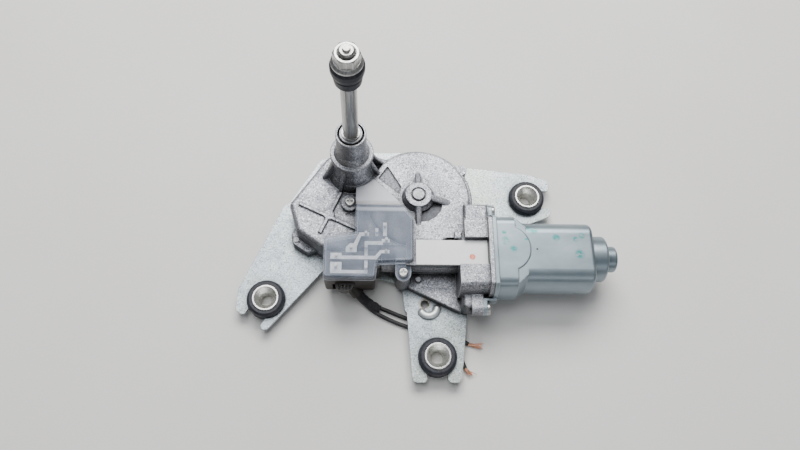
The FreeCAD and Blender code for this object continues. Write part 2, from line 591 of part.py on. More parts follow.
def tower_parts():
    ring = "Dims.shaft_radius + 0.05"
    turned("lower_bush", [(ring, "33"), ("Dims.tower_bore", "33"), ("Dims.tower_bore", "47"), (ring, "47")])
    turned("upper_bush", [(ring, "58"), ("Dims.tower_bore", "58"), ("Dims.tower_bore", "Dims.rim_top - 0.6"),
                          (ring, "Dims.rim_top - 0.6")])
    seat = "Dims.rim_top - Dims.rim_depth"
    turned("shaft_seal", [("Dims.tower_bore", seat), ("Dims.rim_bore", seat),
                          ("Dims.rim_bore", seat + " + 1.6"), ("Dims.rim_bore - 0.5", seat + " + 2.2"),
                          ("Dims.tower_bore", seat + " + 2.2")])
    turned("shaft_washer", [(ring, "Dims.rim_top - 0.6"), ("Dims.tower_bore + 0.6", "Dims.rim_top - 0.6"),
                            ("Dims.tower_bore + 0.6", "Dims.rim_top + 0.1"),
                            ("Dims.tower_bore + 0.3", "Dims.rim_top + 0.4"), (ring, "Dims.rim_top + 0.4")])
    turned("retaining_ring", [("Dims.shaft_radius", "Dims.rim_top + 0.7"),
                              ("Dims.shaft_radius + 0.9", "Dims.rim_top + 0.7"),
                              ("Dims.shaft_radius + 0.9", "Dims.rim_top + 1.5"),
                              ("Dims.shaft_radius", "Dims.rim_top + 1.5")])
    turned("thrust_washer", [("0", PLATE_TOP), ("6.5", PLATE_TOP), ("6.5", PLATE_TOP + " + 0.9"),
                             ("0", PLATE_TOP + " + 0.9")])


# ---------------------------------------------------------------- gears
def involute_tooth(teeth, module, backlash, tip, root, flank_points):
    """Half-tooth flank points (radius, half angle) from root to tip, at a 20 degree pressure angle."""
    pitch = teeth * module / 2
    base = pitch * math.cos(math.radians(20))
    spread = math.tan(math.radians(20)) - math.radians(20)
    half = math.pi / (2 * teeth) - backlash / (2 * pitch)
    start = max(base, pitch - root)
    flank = [(pitch - root, half + spread)] if base > pitch - root else []
    for i in range(flank_points):
        radius = start + (pitch + tip - start) * i / (flank_points - 1)
        angle = math.acos(min(1.0, base / radius))
        flank.append((radius, half + spread - (math.tan(angle) - angle)))
    return flank


def gear_points(flank, step, indexes, turn):
    points = []
    for index in indexes:
        middle = index * step + turn
        points += [(radius, middle - half) for radius, half in flank]
        points += [(radius, middle + half) for radius, half in reversed(flank)]
    return [V(radius * math.cos(angle), radius * math.sin(angle), 0) for radius, angle in points]


def closed(points):
    return Part.makePolygon(points + [points[0]])


def worm_wheel():
    module = num("Dims.wheel_module")
    teeth = int(num("Dims.wheel_teeth"))
    low = num("Dims.wheel_low")
    high = num("Dims.wheel_high")
    middle = num("Dims.motor_z")
    pitch = module * teeth / 2
    lead = math.pi * module / (2 * math.pi * num("Dims.worm_pitch"))
    flank = involute_tooth(teeth, module, 0.34, 0.95 * module, 1.2 * module, 4)
    mesh = -math.pi / 2
    rings = []
    for level in (low, middle, high):
        turn = mesh + (level - middle) * lead / pitch
        ring = closed(gear_points(flank, 2 * math.pi / teeth, range(teeth), turn))
        ring.translate(V(0, 0, level))
        rings.append(ring)
    rim = Part.makeLoft(rings, True, True)
    dish = Part.makeCylinder(26.5, 3.2, V(0, 0, low - 0.5)).cut(Part.makeCylinder(8.5, 4, V(0, 0, low - 1)))
    upper = Part.makeCylinder(26.5, 3.2, V(0, 0, high - 2.6)).cut(
        Part.makeCylinder(8.5, 4, V(0, 0, high - 3)))
    crank = V(num("Dims.crank_radius"), 0, low - 0.5)
    crank = FreeCAD.Rotation(UP, crank_turn()).multVec(crank)
    stud = Part.makeCylinder(4.6, 4, V(crank.x, crank.y, low))
    wheel = rim.cut(dish.cut(stud)).cut(upper)
    wheel = wheel.cut(Part.makeCylinder(num("Dims.pin_radius") + 0.06, 20, V(0, 0, low - 5)))
    wheel = wheel.cut(Part.makeCylinder(2.5, 5.0, crank))
    wheel.translate(V(PIN_X, PIN_Y, 0))
    feature("worm_wheel", wheel)


def link_point():
    """Centre of the link pin: one lever length from the output axis."""
    reach = num("Dims.gear_module * (Dims.pinion_teeth + Dims.sector_teeth) / 2")
    angle = math.radians(num("Dims.lever_angle"))
    return V(reach * math.cos(angle), reach * math.sin(angle), 0)


def crank_turn():
    """Direction of the crank pin from the wheel's axis, with crank and rod in line at rest."""
    link = link_point()
    return math.degrees(math.atan2(link.y - PIN_Y, link.x - PIN_X))


def crank_point():
    arm = FreeCAD.Rotation(UP, crank_turn()).multVec(V(num("Dims.crank_radius"), 0, 0))
    return V(PIN_X, PIN_Y, 0) + arm


def pinion_and_sector():
    module = num("Dims.gear_module")
    small = int(num("Dims.pinion_teeth"))
    large = int(num("Dims.sector_teeth"))
    low = num("Dims.sector_low")
    thick = num("Dims.sector_thick")
    link = link_point()
    facing = math.atan2(link.y, link.x)
    flank = involute_tooth(small, module, 0.2, 0.85 * module, 1.15 * module, 5)
    ring = closed(gear_points(flank, 2 * math.pi / small, range(small), facing))
    pinion = Part.Face(ring).extrude(V(0, 0, thick + 0.8))
    pinion = pinion.cut(Part.makeCylinder(num("Dims.shaft_radius"), 20, V(0, 0, -5)))
    pinion.translate(V(0, 0, low - 0.6))
    feature("output_pinion", pinion)

    flank = involute_tooth(large, module, 0.2, 0.85 * module, 1.15 * module, 5)
    step = 2 * math.pi / large
    back = facing + math.pi + step / 2
    teeth = gear_points(flank, step, range(-2, 5), back)
    crank = crank_point()
    sector = Part.Face(closed(teeth + [V(0, 0, 0)])).extrude(V(0, 0, thick))
    hub = Part.makeCylinder(6.2, thick)
    reach = crank - link
    rod = Part.makeBox(reach.Length, 9, thick, V(0, -4.5, 0))
    rod.rotate(V(0, 0, 0), UP, math.degrees(math.atan2(reach.y, reach.x)))
    eye = Part.makeCylinder(6, thick, reach)
    sector = sector.multiFuse([hub, rod, eye]).removeSplitter()
    sector = sector.cut(Part.makeCylinder(2.55, 20, V(0, 0, -5)))
    sector = sector.cut(Part.makeCylinder(3.0, 20, reach + V(0, 0, -5)))
    sector.translate(link + V(0, 0, low))
    feature("sector_gear", sector)


def linkage_pins():
    link = link_point()
    crank = crank_point()
    angle = "Dims.lever_angle"
    reach = "Dims.gear_module * (Dims.pinion_teeth + Dims.sector_teeth) / 2"
    lever = cut("lever", fuse("lever_blank", [
        cylinder("lever_root", "7.4", "Dims.lever_thick", z="Dims.lever_low"),
        cylinder("lever_end", "5.4", "Dims.lever_thick", str(link.x), str(link.y), "Dims.lever_low"),
        lever_bar(reach, angle)]),
        [cylinder("lever_bore", "Dims.shaft_radius + 0.06", "9", z="10"),
         cylinder("lever_eye", "2.5", "9", str(link.x), str(link.y), "10")])
    keep("holding_lever", lever)
    turned("link_pin", [("0", "Dims.sector_low - 0.6"), ("2.47", "Dims.sector_low - 0.6"),
                        ("2.47", "Dims.lever_low"), ("2.5", "Dims.lever_low"),
                        ("2.5", "Dims.lever_low + Dims.lever_thick"),
                        ("3.4", "Dims.lever_low + Dims.lever_thick"),
                        ("3.1", "Dims.lever_low + Dims.lever_thick + 0.7"),
                        ("0", "Dims.lever_low + Dims.lever_thick + 0.7")], str(link.x), str(link.y))
    turned("crank_pin", [("0", "Dims.sector_low + Dims.sector_thick + 0.35"),
                         ("2.2", "Dims.sector_low + Dims.sector_thick + 0.35"),
                         ("2.5", "Dims.sector_low + Dims.sector_thick + 0.65"),
                         ("2.5", "Dims.wheel_low + 4.4"), ("0", "Dims.wheel_low + 4.4")],
           str(crank.x), str(crank.y))
    turned("wheel_pin", [("0", FOOT + " + 8.6"), ("Dims.pin_radius - 0.5", FOOT + " + 8.6"),
                         ("Dims.pin_radius", FOOT + " + 9.1"), ("Dims.pin_radius", "Dims.boss_top + 0.1"),
                         ("Dims.pin_radius - 0.5", "Dims.boss_top + 0.6"), ("0", "Dims.boss_top + 0.6")],
           "Dims.wheel_x", "Dims.wheel_y")


def lever_bar(reach, angle):
    bar = doc.addObject("Part::Box", "lever_bar")
    bind(bar, Length=reach, Width="9", Height="Dims.lever_thick")
    turn = math.radians(num(angle))
    place(bar, "%.4f" % (4.5 * math.sin(turn)), "%.4f" % (-4.5 * math.cos(turn)), "Dims.lever_low",
          FreeCAD.Rotation(UP, num(angle)))
    return bar


def park_disc():
    outer = cylinder("park_outer", "24", "0.4", "Dims.wheel_x", "Dims.wheel_y", "Dims.wheel_high - 2.6")
    keep("park_disc", cut("park", outer, [
        cylinder("park_inner", "13", "2", "Dims.wheel_x", "Dims.wheel_y", "Dims.wheel_high - 3"),
        block("park_gap", "14", "9", "2", "Dims.wheel_x + 17", "Dims.wheel_y - 4.5",
              "Dims.wheel_high - 3")]))


# ---------------------------------------------------------------- motor
WORM_PHASE = 270.0


def worm_thread():
    """A trapezoid thread swept along a helix, on an axis along +Z that starts at the origin."""
    module = num("Dims.wheel_module")
    pitch = math.pi * module
    radius = num("Dims.worm_pitch")
    turns = num("Dims.worm_turns")
    root = radius - 1.3 * module
    tip = radius + 0.9 * module
    slope = math.tan(math.radians(20))
    half = pitch / 4 - 0.1
    helix = Part.makeHelix(pitch, pitch * turns, root)
    profile = [V(root - 0.3, 0, -(half + (radius - root + 0.3) * slope)),
               V(tip, 0, -(half - (tip - radius) * slope)), V(tip, 0, half - (tip - radius) * slope),
               V(root - 0.3, 0, half + (radius - root + 0.3) * slope)]
    pipe = Part.Wire(helix).makePipeShell([closed(profile)], True, True)
    core = Part.makeCylinder(root, pitch * turns + 2 * pitch, V(0, 0, -pitch))
    return pipe, core, pitch * turns


def armature():
    pipe, core, run = worm_thread()
    spindle = num("Dims.spindle_radius")
    start = PIN_X - run / 2
    worm = core.fuse(pipe)
    shaft = Part.makeCylinder(spindle, num("Dims.cup_end") - 2.4 - 25.4, V(0, 0, 25.4 - start))
    solid = worm.fuse(shaft)
    solid.rotate(V(0, 0, 0), V(0, 1, 0), 90)
    solid.rotate(V(0, 0, 0), V(1, 0, 0), WORM_PHASE)
    solid.translate(V(start, num("Dims.motor_y"), num("Dims.motor_z")))
    feature("armature_shaft", solid)
    axis = ("Dims.motor_y", "Dims.motor_z")
    slots = [cylinder("core_bore", "Dims.spindle_radius", "60", "90", *axis, ALONG_X)]
    count = 10
    for i in range(count):
        slot = block("core_slot_%d" % i, "60", "1.9", "6.0", "90", "Dims.motor_y", "Dims.motor_z")
        angle = 360 * i / count
        turn = FreeCAD.Rotation(V(1, 0, 0), angle)
        shift = turn.multVec(V(0, -0.95, 7.6))
        place(slot, "90", "Dims.motor_y + %.4f" % shift.y, "Dims.motor_z + %.4f" % shift.z, turn)
        slots.append(slot)
    keep("armature_core", cut("core_cut", cylinder("core_blank", "Dims.core_radius", "42", "98", *axis,
                                                   ALONG_X), slots))
    coils = []
    for name, x, run in (("coil_front", 90.0, "7.7"), ("coil_back", 140.3, "6.6")):
        ring = cut(name, rounded(name + "_soft", cylinder(name + "_blank", "11.2", run, str(x), *axis,
                                                          ALONG_X), 2.6, lambda e: len(e.Vertexes) == 1),
                   [cylinder(name + "_bore", "Dims.spindle_radius + 1.2", "12", str(x - 2), *axis,
                             ALONG_X)])
        coils.append(ring)
    group("windings", coils)
    bars = [cylinder("bar_bore", "Dims.spindle_radius", "30", "66", *axis, ALONG_X)]
    for i in range(count):
        turn = FreeCAD.Rotation(V(1, 0, 0), 360 * i / count)
        shift = turn.multVec(V(0, -0.25, 6.1))
        gap = block("bar_gap_%d" % i, "30", "0.5", "3", "66", "Dims.motor_y", "Dims.motor_z")
        place(gap, "66", "Dims.motor_y + %.4f" % shift.y, "Dims.motor_z + %.4f" % shift.z, turn)
        bars.append(gap)
    keep("commutator", cut("bars", fuse("bar_blank", [
        cylinder("bar_ring", "7", "12.5", "72", *axis, ALONG_X),
        cylinder("bar_riser", "8", "2.2", "84.5", *axis, ALONG_X)]), bars))


def can_outline(name, grow, start, end):
    """The can's outer or inner form: front collar, tapered shoulder, flattened barrel, step and cup."""
    axis = ("Dims.motor_y", "Dims.motor_z")
    front = motor_section(name + "_front", "Dims.front_radius - %s" % grow, "Dims.front_half - %s" % grow,
                          6.0 - grow, start, "Dims.front_end - (%s)" % start)
    barrel = motor_section(name + "_barrel", "Dims.can_radius - %s" % grow, "Dims.can_half - %s" % grow,
                           8.5 - grow, "Dims.front_end", "Dims.can_end - %s - Dims.front_end" % grow)
    slope = common(name + "_slope", [
        cone(name + "_slope_cone", "Dims.front_radius - %s" % grow, "Dims.can_radius - 0.5 - %s" % grow,
             "Dims.can_start - Dims.front_end", "Dims.front_end", *axis, ALONG_X),
        block(name + "_slope_slab", "9", "2 * Dims.front_radius", "2 * (Dims.can_half - %s)" % grow,
              "Dims.front_end", "Dims.motor_y - Dims.front_radius",
              "Dims.motor_z - Dims.can_half + %s" % grow)])
    parts = [front, barrel, slope]
    step_x = "Dims.can_end - 4"
    parts.append(cylinder(name + "_step", "Dims.step_radius - %s" % grow,
                          "Dims.step_end - %s - (%s)" % (grow, step_x), step_x, *axis, ALONG_X))
    parts.append(cylinder(name + "_cup", "Dims.cup_radius - %s" % grow,
                          "Dims.cup_end - %s - (%s)" % (grow, step_x), step_x, *axis, ALONG_X))
    return parts


def motor_can():
    outer = can_outline("can_out", 0, "Dims.flange_x", "Dims.can_end")
    flange = motor_section("can_flange", "Dims.front_radius + 1.2", "Dims.front_half + 1", 0,
                           "Dims.flange_x", "Dims.flange_thick")
    thick = "Dims.flange_thick"
    ears = (screw_ear("can_ear_high", 1, "4.4", "Dims.flange_x", thick, "20")
            + screw_ear("can_ear_low", -1, "4.2", "Dims.flange_x", thick, "Dims.front_radius + 1.4"))
    strap_y = "Dims.motor_y - Dims.front_radius - 2.5"
    strap_z = "Dims.motor_z - 4.2"
    strap = block("can_strap", "Dims.low_ear_step + " + thick, "1.3", "8.4",
                  "Dims.flange_x - Dims.low_ear_step", strap_y, strap_z)
    strap_root = block("can_strap_root", thick, "3", "8.4", "Dims.flange_x", strap_y, strap_z)
    ears += [strap, strap_root]
    inner = can_outline("can_in", 1.5, "Dims.flange_x - 1", "Dims.can_end")
    holes = screw_holes("ear_hole", "Dims.flange_x - 4", "12")
    outer[1] = rounded("can_barrel_end", outer[1], 2.6,
                       lambda e: e.BoundBox.XMin > num("Dims.can_end") - 0.01)
    pad_top = "Dims.motor_z + Dims.front_half"
    pad = rounded("can_pad_soft", cylinder("can_pad", "15", "2", "95", "-54", pad_top + " - 2"), 0.8,
                  at_height(pad_top))
    pad_room = block("pad_room", "40", "40", "9", "Dims.flange_x", "-74", "Dims.motor_z + 12")
    shell = fuse("can_blank", outer + [flange, common("pad_front", [pad, pad_room])] + ears)
    doc.recompute()
    ends = [num("Dims.step_end"), num("Dims.cup_end")]
    soft = rounded("can_ends_soft", shell, 1.6,
                   lambda e: any(abs(e.BoundBox.XMin - x) < 0.01 and abs(e.BoundBox.XMax - x) < 0.01
                                 for x in ends))
    keep("motor_can", cut("can", soft, inner + holes))


def motor_inside():
    axis = ("Dims.motor_y", "Dims.motor_z")
    ring = cut("magnet_ring", cylinder("magnet_out", "Dims.can_radius - Dims.can_wall - 0.05", "46", "96.5",
                                       *axis, ALONG_X),
               [cylinder("magnet_in", "Dims.core_radius + 0.6", "60", "94", *axis, ALONG_X)])
    magnets = []
    for name, y in (("a", "Dims.motor_y + 6"), ("b", "Dims.motor_y - 30")):
        window = block("magnet_window_" + name, "60", "24", "20", "92", y, "Dims.motor_z - 10")
        window_cut = common("magnet_" + name, [ring, window])
        magnets.append(window_cut)
    group("magnets", magnets)
    bore = "Dims.spindle_radius + 0.04"
    turned("front_bearing", [(bore, "0"), ("7.3", "0"), ("7.3", "5.5"), (bore, "5.5")], "59", *axis, ALONG_X)
    turned("tail_bearing", [(bore, "0"), ("Dims.cup_radius - 1.55", "0"), ("Dims.cup_radius - 1.55", "5"),
                            (bore, "5")], "Dims.cup_end - 7.4", *axis, ALONG_X)
    holder = cut("holder", cylinder("holder_disc", "18.5", "1.6", "69.4", *axis, ALONG_X),
                 [cylinder("holder_bore", "8.4", "9", "66", *axis, ALONG_X),
                  block("holder_top", "9", "60", "12", "66", "Dims.motor_y - 30", "Dims.motor_z + 8.4"),
                  block("holder_low", "9", "60", "12", "66", "Dims.motor_y - 30", "Dims.motor_z - 20.4")])
    cages = []
    for side in SIDES:
        near = "Dims.motor_y + 8.4" if side > 0 else "Dims.motor_y - 18.4"
        cages.append(cut("cage_%d" % (side + 1), block("cage_box_%d" % (side + 1), "8.2", "10", "7", "71",
                                                       near, "Dims.motor_z - 3.5"),
                         [block("cage_room_%d" % (side + 1), "7.2", "14", "5", "71", near + " - 2",
                                "Dims.motor_z - 2.5")]))
    keep("brush_holder", fuse("holder_whole", [holder] + cages))
    brushes = []
    for side in SIDES:
        near = "Dims.motor_y + 7.35" if side > 0 else "Dims.motor_y - 13.35"
        brushes.append(block("brush_%d" % (side + 1), "6.4", "6", "4.4", "71.2", near,
                             "Dims.motor_z - 2.2"))
    group("brushes", brushes)
    springs = []
    for side in SIDES:
        near = "Dims.motor_y + 13.5" if side > 0 else "Dims.motor_y - 17.5"
        spot = ("74.4", near, "Dims.motor_z", ALONG_Y)
        coil = cylinder("spring_out_%d" % (side + 1), "1.8", "4", *spot)
        hollow = cylinder("spring_in_%d" % (side + 1), "1.3", "4", *spot)
        springs.append(cut("spring_%d" % (side + 1), coil, [hollow]))
    group("brush_springs", springs)
    turned("thrust_screw", [("0", "0"), ("7.38", "0"), ("7.38", "4.2"), ("3", "4.2"), ("3", "4.6"),
                            ("0", "4.6")], "Dims.tube_end + 1.2", *axis, ALONG_X)


# ---------------------------------------------------------------- fasteners
def cross_screw(name, head, shank, reach, x, y, z, turn=None):
    """A pan-head screw with a cross recess; its head's seat is at the given point, its head on +Z."""
    pan = rounded(name + "_pan", cylinder(name + "_head", head, "2.2"), 0.9, at_height("2.2"))
    stem = cylinder(name + "_stem", shank, reach, z="-1 * (%s)" % reach)
    slots = [block(name + "_slot_a", "3.6", "0.8", "3", "-1.8", "-0.4", "1.0"),
             block(name + "_slot_b", "0.8", "3.6", "3", "-0.4", "-1.8", "1.0")]
    screw = cut(name, fuse(name + "_blank", [pan, stem]), slots)
    return place(screw, x, y, z, turn)


def screws():
    keep("boss_screw", cross_screw("boss_screw_body", "3.1", "1.55", "5", "-1.1", "-23.6",
                                   "Dims.pod_top + 3.9"))
    keep("cover_screw", cross_screw("cover_screw_body", "3.0", "1.55", "8", "32.3", "-68.2", "29.6"))
    ends = []
    for side in SIDES:
        reach, y, step = ear_line(side)
        ends.append(cross_screw("flange_screw_%d" % (side + 1), "4.0", "2.0", "9",
                                "Dims.flange_x + Dims.flange_thick - " + step, y, "Dims.motor_z", ALONG_X))
    group("flange_screws", ends)


# ---------------------------------------------------------------- terminals and covers
def terminal_cover():
    top = "Dims.cover_top"
    low = "Dims.connector_top"
    skin = rounded("cover_soft", prism("cover_skin", COVER, "2", low, "%s - %s" % (top, low)), 1.2,
                   at_height(top))
    chute = block("cover_chute", "40", "26", "12", "0", "-24.5", top)
    chute_turn = FreeCAD.Rotation(V(1, 0, 0), -17)
    place(chute, "0", "-25", top, chute_turn)
    sloped = cut("cover_sloped", skin, [chute])
    room = prism("cover_room", COVER, "2 - Dims.cover_wall", "Dims.connector_top - 1",
                 "Dims.cover_top - Dims.cover_wall - Dims.connector_top + 1")
    lid = block("cover_lid", "40", "40", "12", "0", "-24.5", top)
    place(lid, "-2", "-26", "Dims.cover_top - 1.4", chute_turn)
    hollow = cut("cover_hollow_form", room, [lid])
    shell = cut("cover_shell", sloped, [hollow])
    lug = fuse("cover_lug", [cylinder("lug_round", "4.8", "1.5", "32.3", "-68.2", "28.1"),
                             block("lug_arm", "9.6", "7.8", "1.5", "27.5", "-68.2", "28.1"),
                             block("lug_wall", "9.6", "1.4", "6.9", "27.5", "-61.9", "28.1")])
    keep("terminal_cover", cut("cover_whole", fuse("cover_solid", [shell, lug]), [
        cylinder("lug_hole", "1.7", "9", "32.3", "-68.2", "24"), nodes["gear_housing"]]))


def connector_housing():
    low = "Dims.connector_low"
    height = "Dims.connector_top - Dims.connector_low"
    form = rounded("connector_soft", prism("connector_form", CONNECTOR, "2", low, height), 0.8,
                   at_height(low))
    keep_out = [prism("pod_clear", POD, "5.25", "4", "Dims.pod_top + 2 - 4"),
                cylinder("disc_clear", "Dims.disc_radius + 0.3", "40", "Dims.wheel_x", "Dims.wheel_y", "4"),
                block("tube_clear", "60", "22", "40", "18", "Dims.motor_y - 11", "-8"),
                block("post_clear", "14", "16", "30", "26.5", "-74", "4"),
                block("ear_clear", "30", "9", "12", "-40", "-56", "4"),
                prism("tray_room", CONNECTOR, "0.5", "Dims.connector_top - 1.8", "5")]
    tray = cut("connector_tray", form, keep_out)
    tab = common("socket_tab", [cylinder("tab_round", "6.2", "3.4", "-3.2", "-72.6", "21"),
                                block("tab_half", "14", "7", "3.4", "-10.2", "-79.6", "21")])
    slits = [block("slit_%d" % i, "1.1", "2.6", "5", "%.2f" % (-6.9 + 2.1 * i), "-77.2", "22.6")
             for i in range(4)]
    mouth = block("socket_mouth", "13", "9", "10.4", "-11", "-74.4", "11.6")
    heading = lead_heading()
    gland = cylinder("gland_boss", "4.1", "6", "%.3f" % (GLAND[0] - 6 * heading.x),
                     "%.3f" % (GLAND[1] - 6 * heading.y), "%.3f" % (GLAND[2] - 6 * heading.z),
                     FreeCAD.Rotation(UP, heading))
    body = cut("connector_body", fuse("connector_blank", [tray, tab]), slits + [mouth])
    keep("connector_housing", fuse("connector_whole", [body, gland]))
    pins = [block("pin_%d" % i, "0.8", "6", "1.6", "%.2f" % (-9.1 + 3 * i), "-71.6", "15.2")
            for i in range(4)]
    backs = [block("pin_back_%d" % i, "0.8", "7.2", "1.6", "%.2f" % (-9.1 + 3 * i), "-65.8", "15.2")
             for i in range(4)]
    group("connector_pins", [fuse("pin_whole_%d" % i, [pins[i], backs[i]]) for i in range(4)])


def terminal_tracks():
    """Stamped strips that hang from the cover's lid on studs; one strip bridges over another."""
    low = "Dims.connector_top + 1.5"
    high = "Dims.connector_top + 2.6"
    thick = "0.8"
    strips = [("pad_a", -12.0, -68.4, 6.8, 5.9, 0, low), ("run_a", -11.8, -69.6, 22.3, 2.0, 0, low),
              ("rise", 8.5, -69.6, 2.0, 20.6, 0, low), ("run_b", 8.5, -51.2, 11.2, 2.3, 0, low),
              ("end_b", 19.0, -49.6, 4.8, 2.1, 0, low), ("pad_c", -12.0, -60.9, 6.7, 3.8, 0, high),
              ("run_c", -5.4, -61.0, 21.4, 2.2, 0, high), ("slant", 16.2, -60.5, 5.4, 2.0, 52, high),
              ("end_c", 18.3, -57.0, 5.4, 2.0, 0, high), ("end_d", 4.9, -45.6, 6.2, 2.4, 0, low),
              ("bar", 19.7, -45.4, 2.4, 8.9, 0, low), ("stud_pad", 14.9, -45.6, 1.9, 5.2, 0, low)]
    spread = [block("strip_" + name, str(w), str(d), thick, str(x), str(y), z, spin)
              for name, x, y, w, d, spin, z in strips]
    spread.append(prism("strip_blade", STRIP, "0.4", low, thick))
    spots = [(9.5, -66.6), (9.5, -53.4), (-8.6, -65.4), (21.8, -48.5), (-8.6, -59.0), (21.6, -56.0),
             (0.4, -53.6), (9.2, -44.4), (20.9, -39.4), (15.85, -43.4)]
    length = "Dims.cover_top - Dims.cover_wall - (%s)" % low
    studs = [cylinder("contact_%d" % i, "0.9", length, str(x), str(y), low) for i, (x, y) in enumerate(spots)]
    holes = [cylinder("stud_hole_%d" % i, "0.92", "4", str(x), str(y), "Dims.connector_top")
             for i, (x, y) in enumerate(spots)]
    keep("terminal_tracks", cut("tracks", fuse("track_blank", spread), holes))
    group("contact_rivets", studs)


def label_plate():
    keep("label_plate", block("label", "44.2", "16.0", "0.5", "40", "Dims.motor_y - 8.0", "Dims.tube_top"))


# ---------------------------------------------------------------- isolators
def isolators():
    neck = "Dims.rubber_neck"
    flank_low = "Dims.plate_bottom - 0.05"
    flank_high = "Dims.plate_bottom + Dims.plate_thick + 0.05"
    funnel = [("Dims.sleeve_outer", "Dims.sleeve_top - 4.6"),
              ("Dims.sleeve_flange - 0.5", "Dims.rubber_high - 0.4"),
              ("Dims.sleeve_flange", "Dims.rubber_high")]
    rubber = [("Dims.sleeve_outer", "Dims.rubber_low"), ("Dims.rubber_radius - 2.2", "Dims.rubber_low"),
              ("Dims.rubber_radius - 0.7", "Dims.rubber_low + 0.7"),
              ("Dims.rubber_radius - 0.3", "Dims.rubber_low + 2.2"),
              ("Dims.rubber_radius - 0.9", flank_low), (neck, flank_low), (neck, flank_high),
              ("Dims.rubber_radius - 0.4", flank_high),
              ("Dims.rubber_radius", "Dims.rubber_high - 2.6"),
              ("Dims.rubber_radius - 0.6", "Dims.rubber_high - 0.9"),
              ("Dims.rubber_radius - 1.9", "Dims.rubber_high")] + funnel[::-1]
    sleeve = [("Dims.sleeve_bore", "0"), ("Dims.sleeve_outer", "0")] + funnel + [
        ("Dims.sleeve_flange", "Dims.sleeve_top - 0.2"), ("Dims.sleeve_flange - 0.3", "Dims.sleeve_top"),
        ("Dims.sleeve_flange - 1.1", "Dims.sleeve_top"), ("Dims.sleeve_bore", "Dims.sleeve_top - 4.2")]
    for name, (x, y, angle) in GROMMETS.items():
        turned("grommet_" + name, rubber, str(x), str(y))
        turned("sleeve_" + name, sleeve, str(x), str(y))


# ---------------------------------------------------------------- harness
GLAND = (4.8, -75.2, 8.0)
LEAD_RUN = 11.5
LEAD_SIDE = 1.7
WRAP_RUN = 8.6
WRAP_END = (18.6, -84.1, 3.3)
LEAD_A = [(24.5, -85.0, 1.5), (38.0, -90.4, 1.4), (52.0, -95.2, 1.4),
          (64.5, -100.0, 1.4), (74.5, -105.6, 1.4)]
LEAD_B = [(22.0, -89.4, 1.5), (36.0, -95.0, 1.4), (50.0, -99.4, 1.4),
          (62.5, -104.4, 1.4), (69.0, -112.4, 1.4), (71.8, -120.6, 1.4)]


def lead_heading():
    heading = V(0.63, -0.57, -0.525)
    return heading.normalize()


def tube_path(points):
    """Straight runs joined by tangent arcs, each as large as its shorter run allows."""
    edges = []
    radii = []
    start = points[0]
    for i in range(1, len(points) - 1):
        back = points[i - 1] - points[i]
        ahead = points[i + 1] - points[i]
        shorter = min(back.Length, ahead.Length)
        back.normalize()
        ahead.normalize()
        turn = math.pi - back.getAngle(ahead)
        leave = points[i] + back * 0.45 * shorter
        enter = points[i] + ahead * 0.45 * shorter
        radius = 0.45 * shorter / math.tan(turn / 2)
        inward = (back + ahead).normalize()
        middle = points[i] + inward * (radius / math.cos(turn / 2) - radius)
        edges.append(Part.LineSegment(start, leave).toShape())
        edges.append(Part.Arc(leave, middle, enter).toShape())
        radii.append(radius)
        start = enter
    edges.append(Part.LineSegment(start, points[-1]).toShape())
    return Part.Wire(edges), radii


def tube(name, points, radius):
    path, radii = tube_path(points)
    heading = (points[1] - points[0]).normalize()
    profile = Part.Wire(Part.makeCircle(radius, points[0], heading))
    solid = path.makePipeShell([profile], True, False)
    expected = math.pi * radius * radius * path.Length
    print("%s: length %.2f, arc radii %s, volume %.3f against %.3f" % (
        name, path.Length, " ".join("%.1f" % r for r in radii), solid.Volume, expected))
    return solid


def harness():
    heading = lead_heading()
    side = heading.cross(UP).normalize()
    gland = V(*GLAND)
    lead_radius = num("Dims.lead_radius")
    first_a = gland - side * LEAD_SIDE
    first_b = gland + side * LEAD_SIDE
    copper = []
    leads = []
    for name, first, rest, run in (("harness_lead_upper", first_a, LEAD_A, 9.5),
                                   ("harness_lead_lower", first_b, LEAD_B, 6.5)):
        points = [first, first + heading * LEAD_RUN] + [V(*spot) for spot in rest]
        solid = tube(name, points, lead_radius)
        leads.append(solid)
        feature(name, solid)
        tail = (points[-1] - points[-2]).normalize()
        copper.append(Part.makeCylinder(num("Dims.copper_radius"), run, points[-1], tail))
    feature("copper_ends", Part.makeCompound(copper))
    wrap_points = [gland, gland + heading * WRAP_RUN, V(*WRAP_END)]
    wrap = tube("harness_tape", wrap_points, num("Dims.tape_radius"))
    for lead in leads:
        wrap = wrap.cut(lead)
    feature("harness_tape", wrap)


# ---------------------------------------------------------------- build, check and write
def build():
    bracket_plate()
    gear_housing()
    housing_gasket()
    housing_rivets()
    output_parts()
    tower_parts()
    worm_wheel()
    pinion_and_sector()
    linkage_pins()
    park_disc()
    armature()
    motor_can()
    motor_inside()
    screws()
    terminal_cover()
    connector_housing()
    terminal_tracks()
    label_plate()
    isolators()
    harness()


def check_and_write():
    doc.recompute()
    bad = [item.Name for item in doc.Objects if "Invalid" in item.State or "Error" in item.State]
    for label, item in nodes.items():
        shape = item.Shape
        if shape.isNull() or not shape.isValid() or shape.Volume <= 0:
            bad.append(label)
    if bad:
        raise RuntimeError("failed objects: " + ", ".join(bad))
    os.makedirs("parts", exist_ok=True)
    for label, item in nodes.items():
        item.Shape.exportStep("parts/%s.step" % label)
        box = item.Shape.BoundBox
        print("%-20s solids %d  volume %9.1f  z %.1f to %.1f" % (
            label, len(item.Shape.Solids), item.Shape.Volume, box.ZMin, box.ZMax))
    print(len(nodes), "nodes")


build()
check_and_write()
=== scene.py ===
import math
import random

import bmesh
import bpy
from mathutils import Matrix, Vector


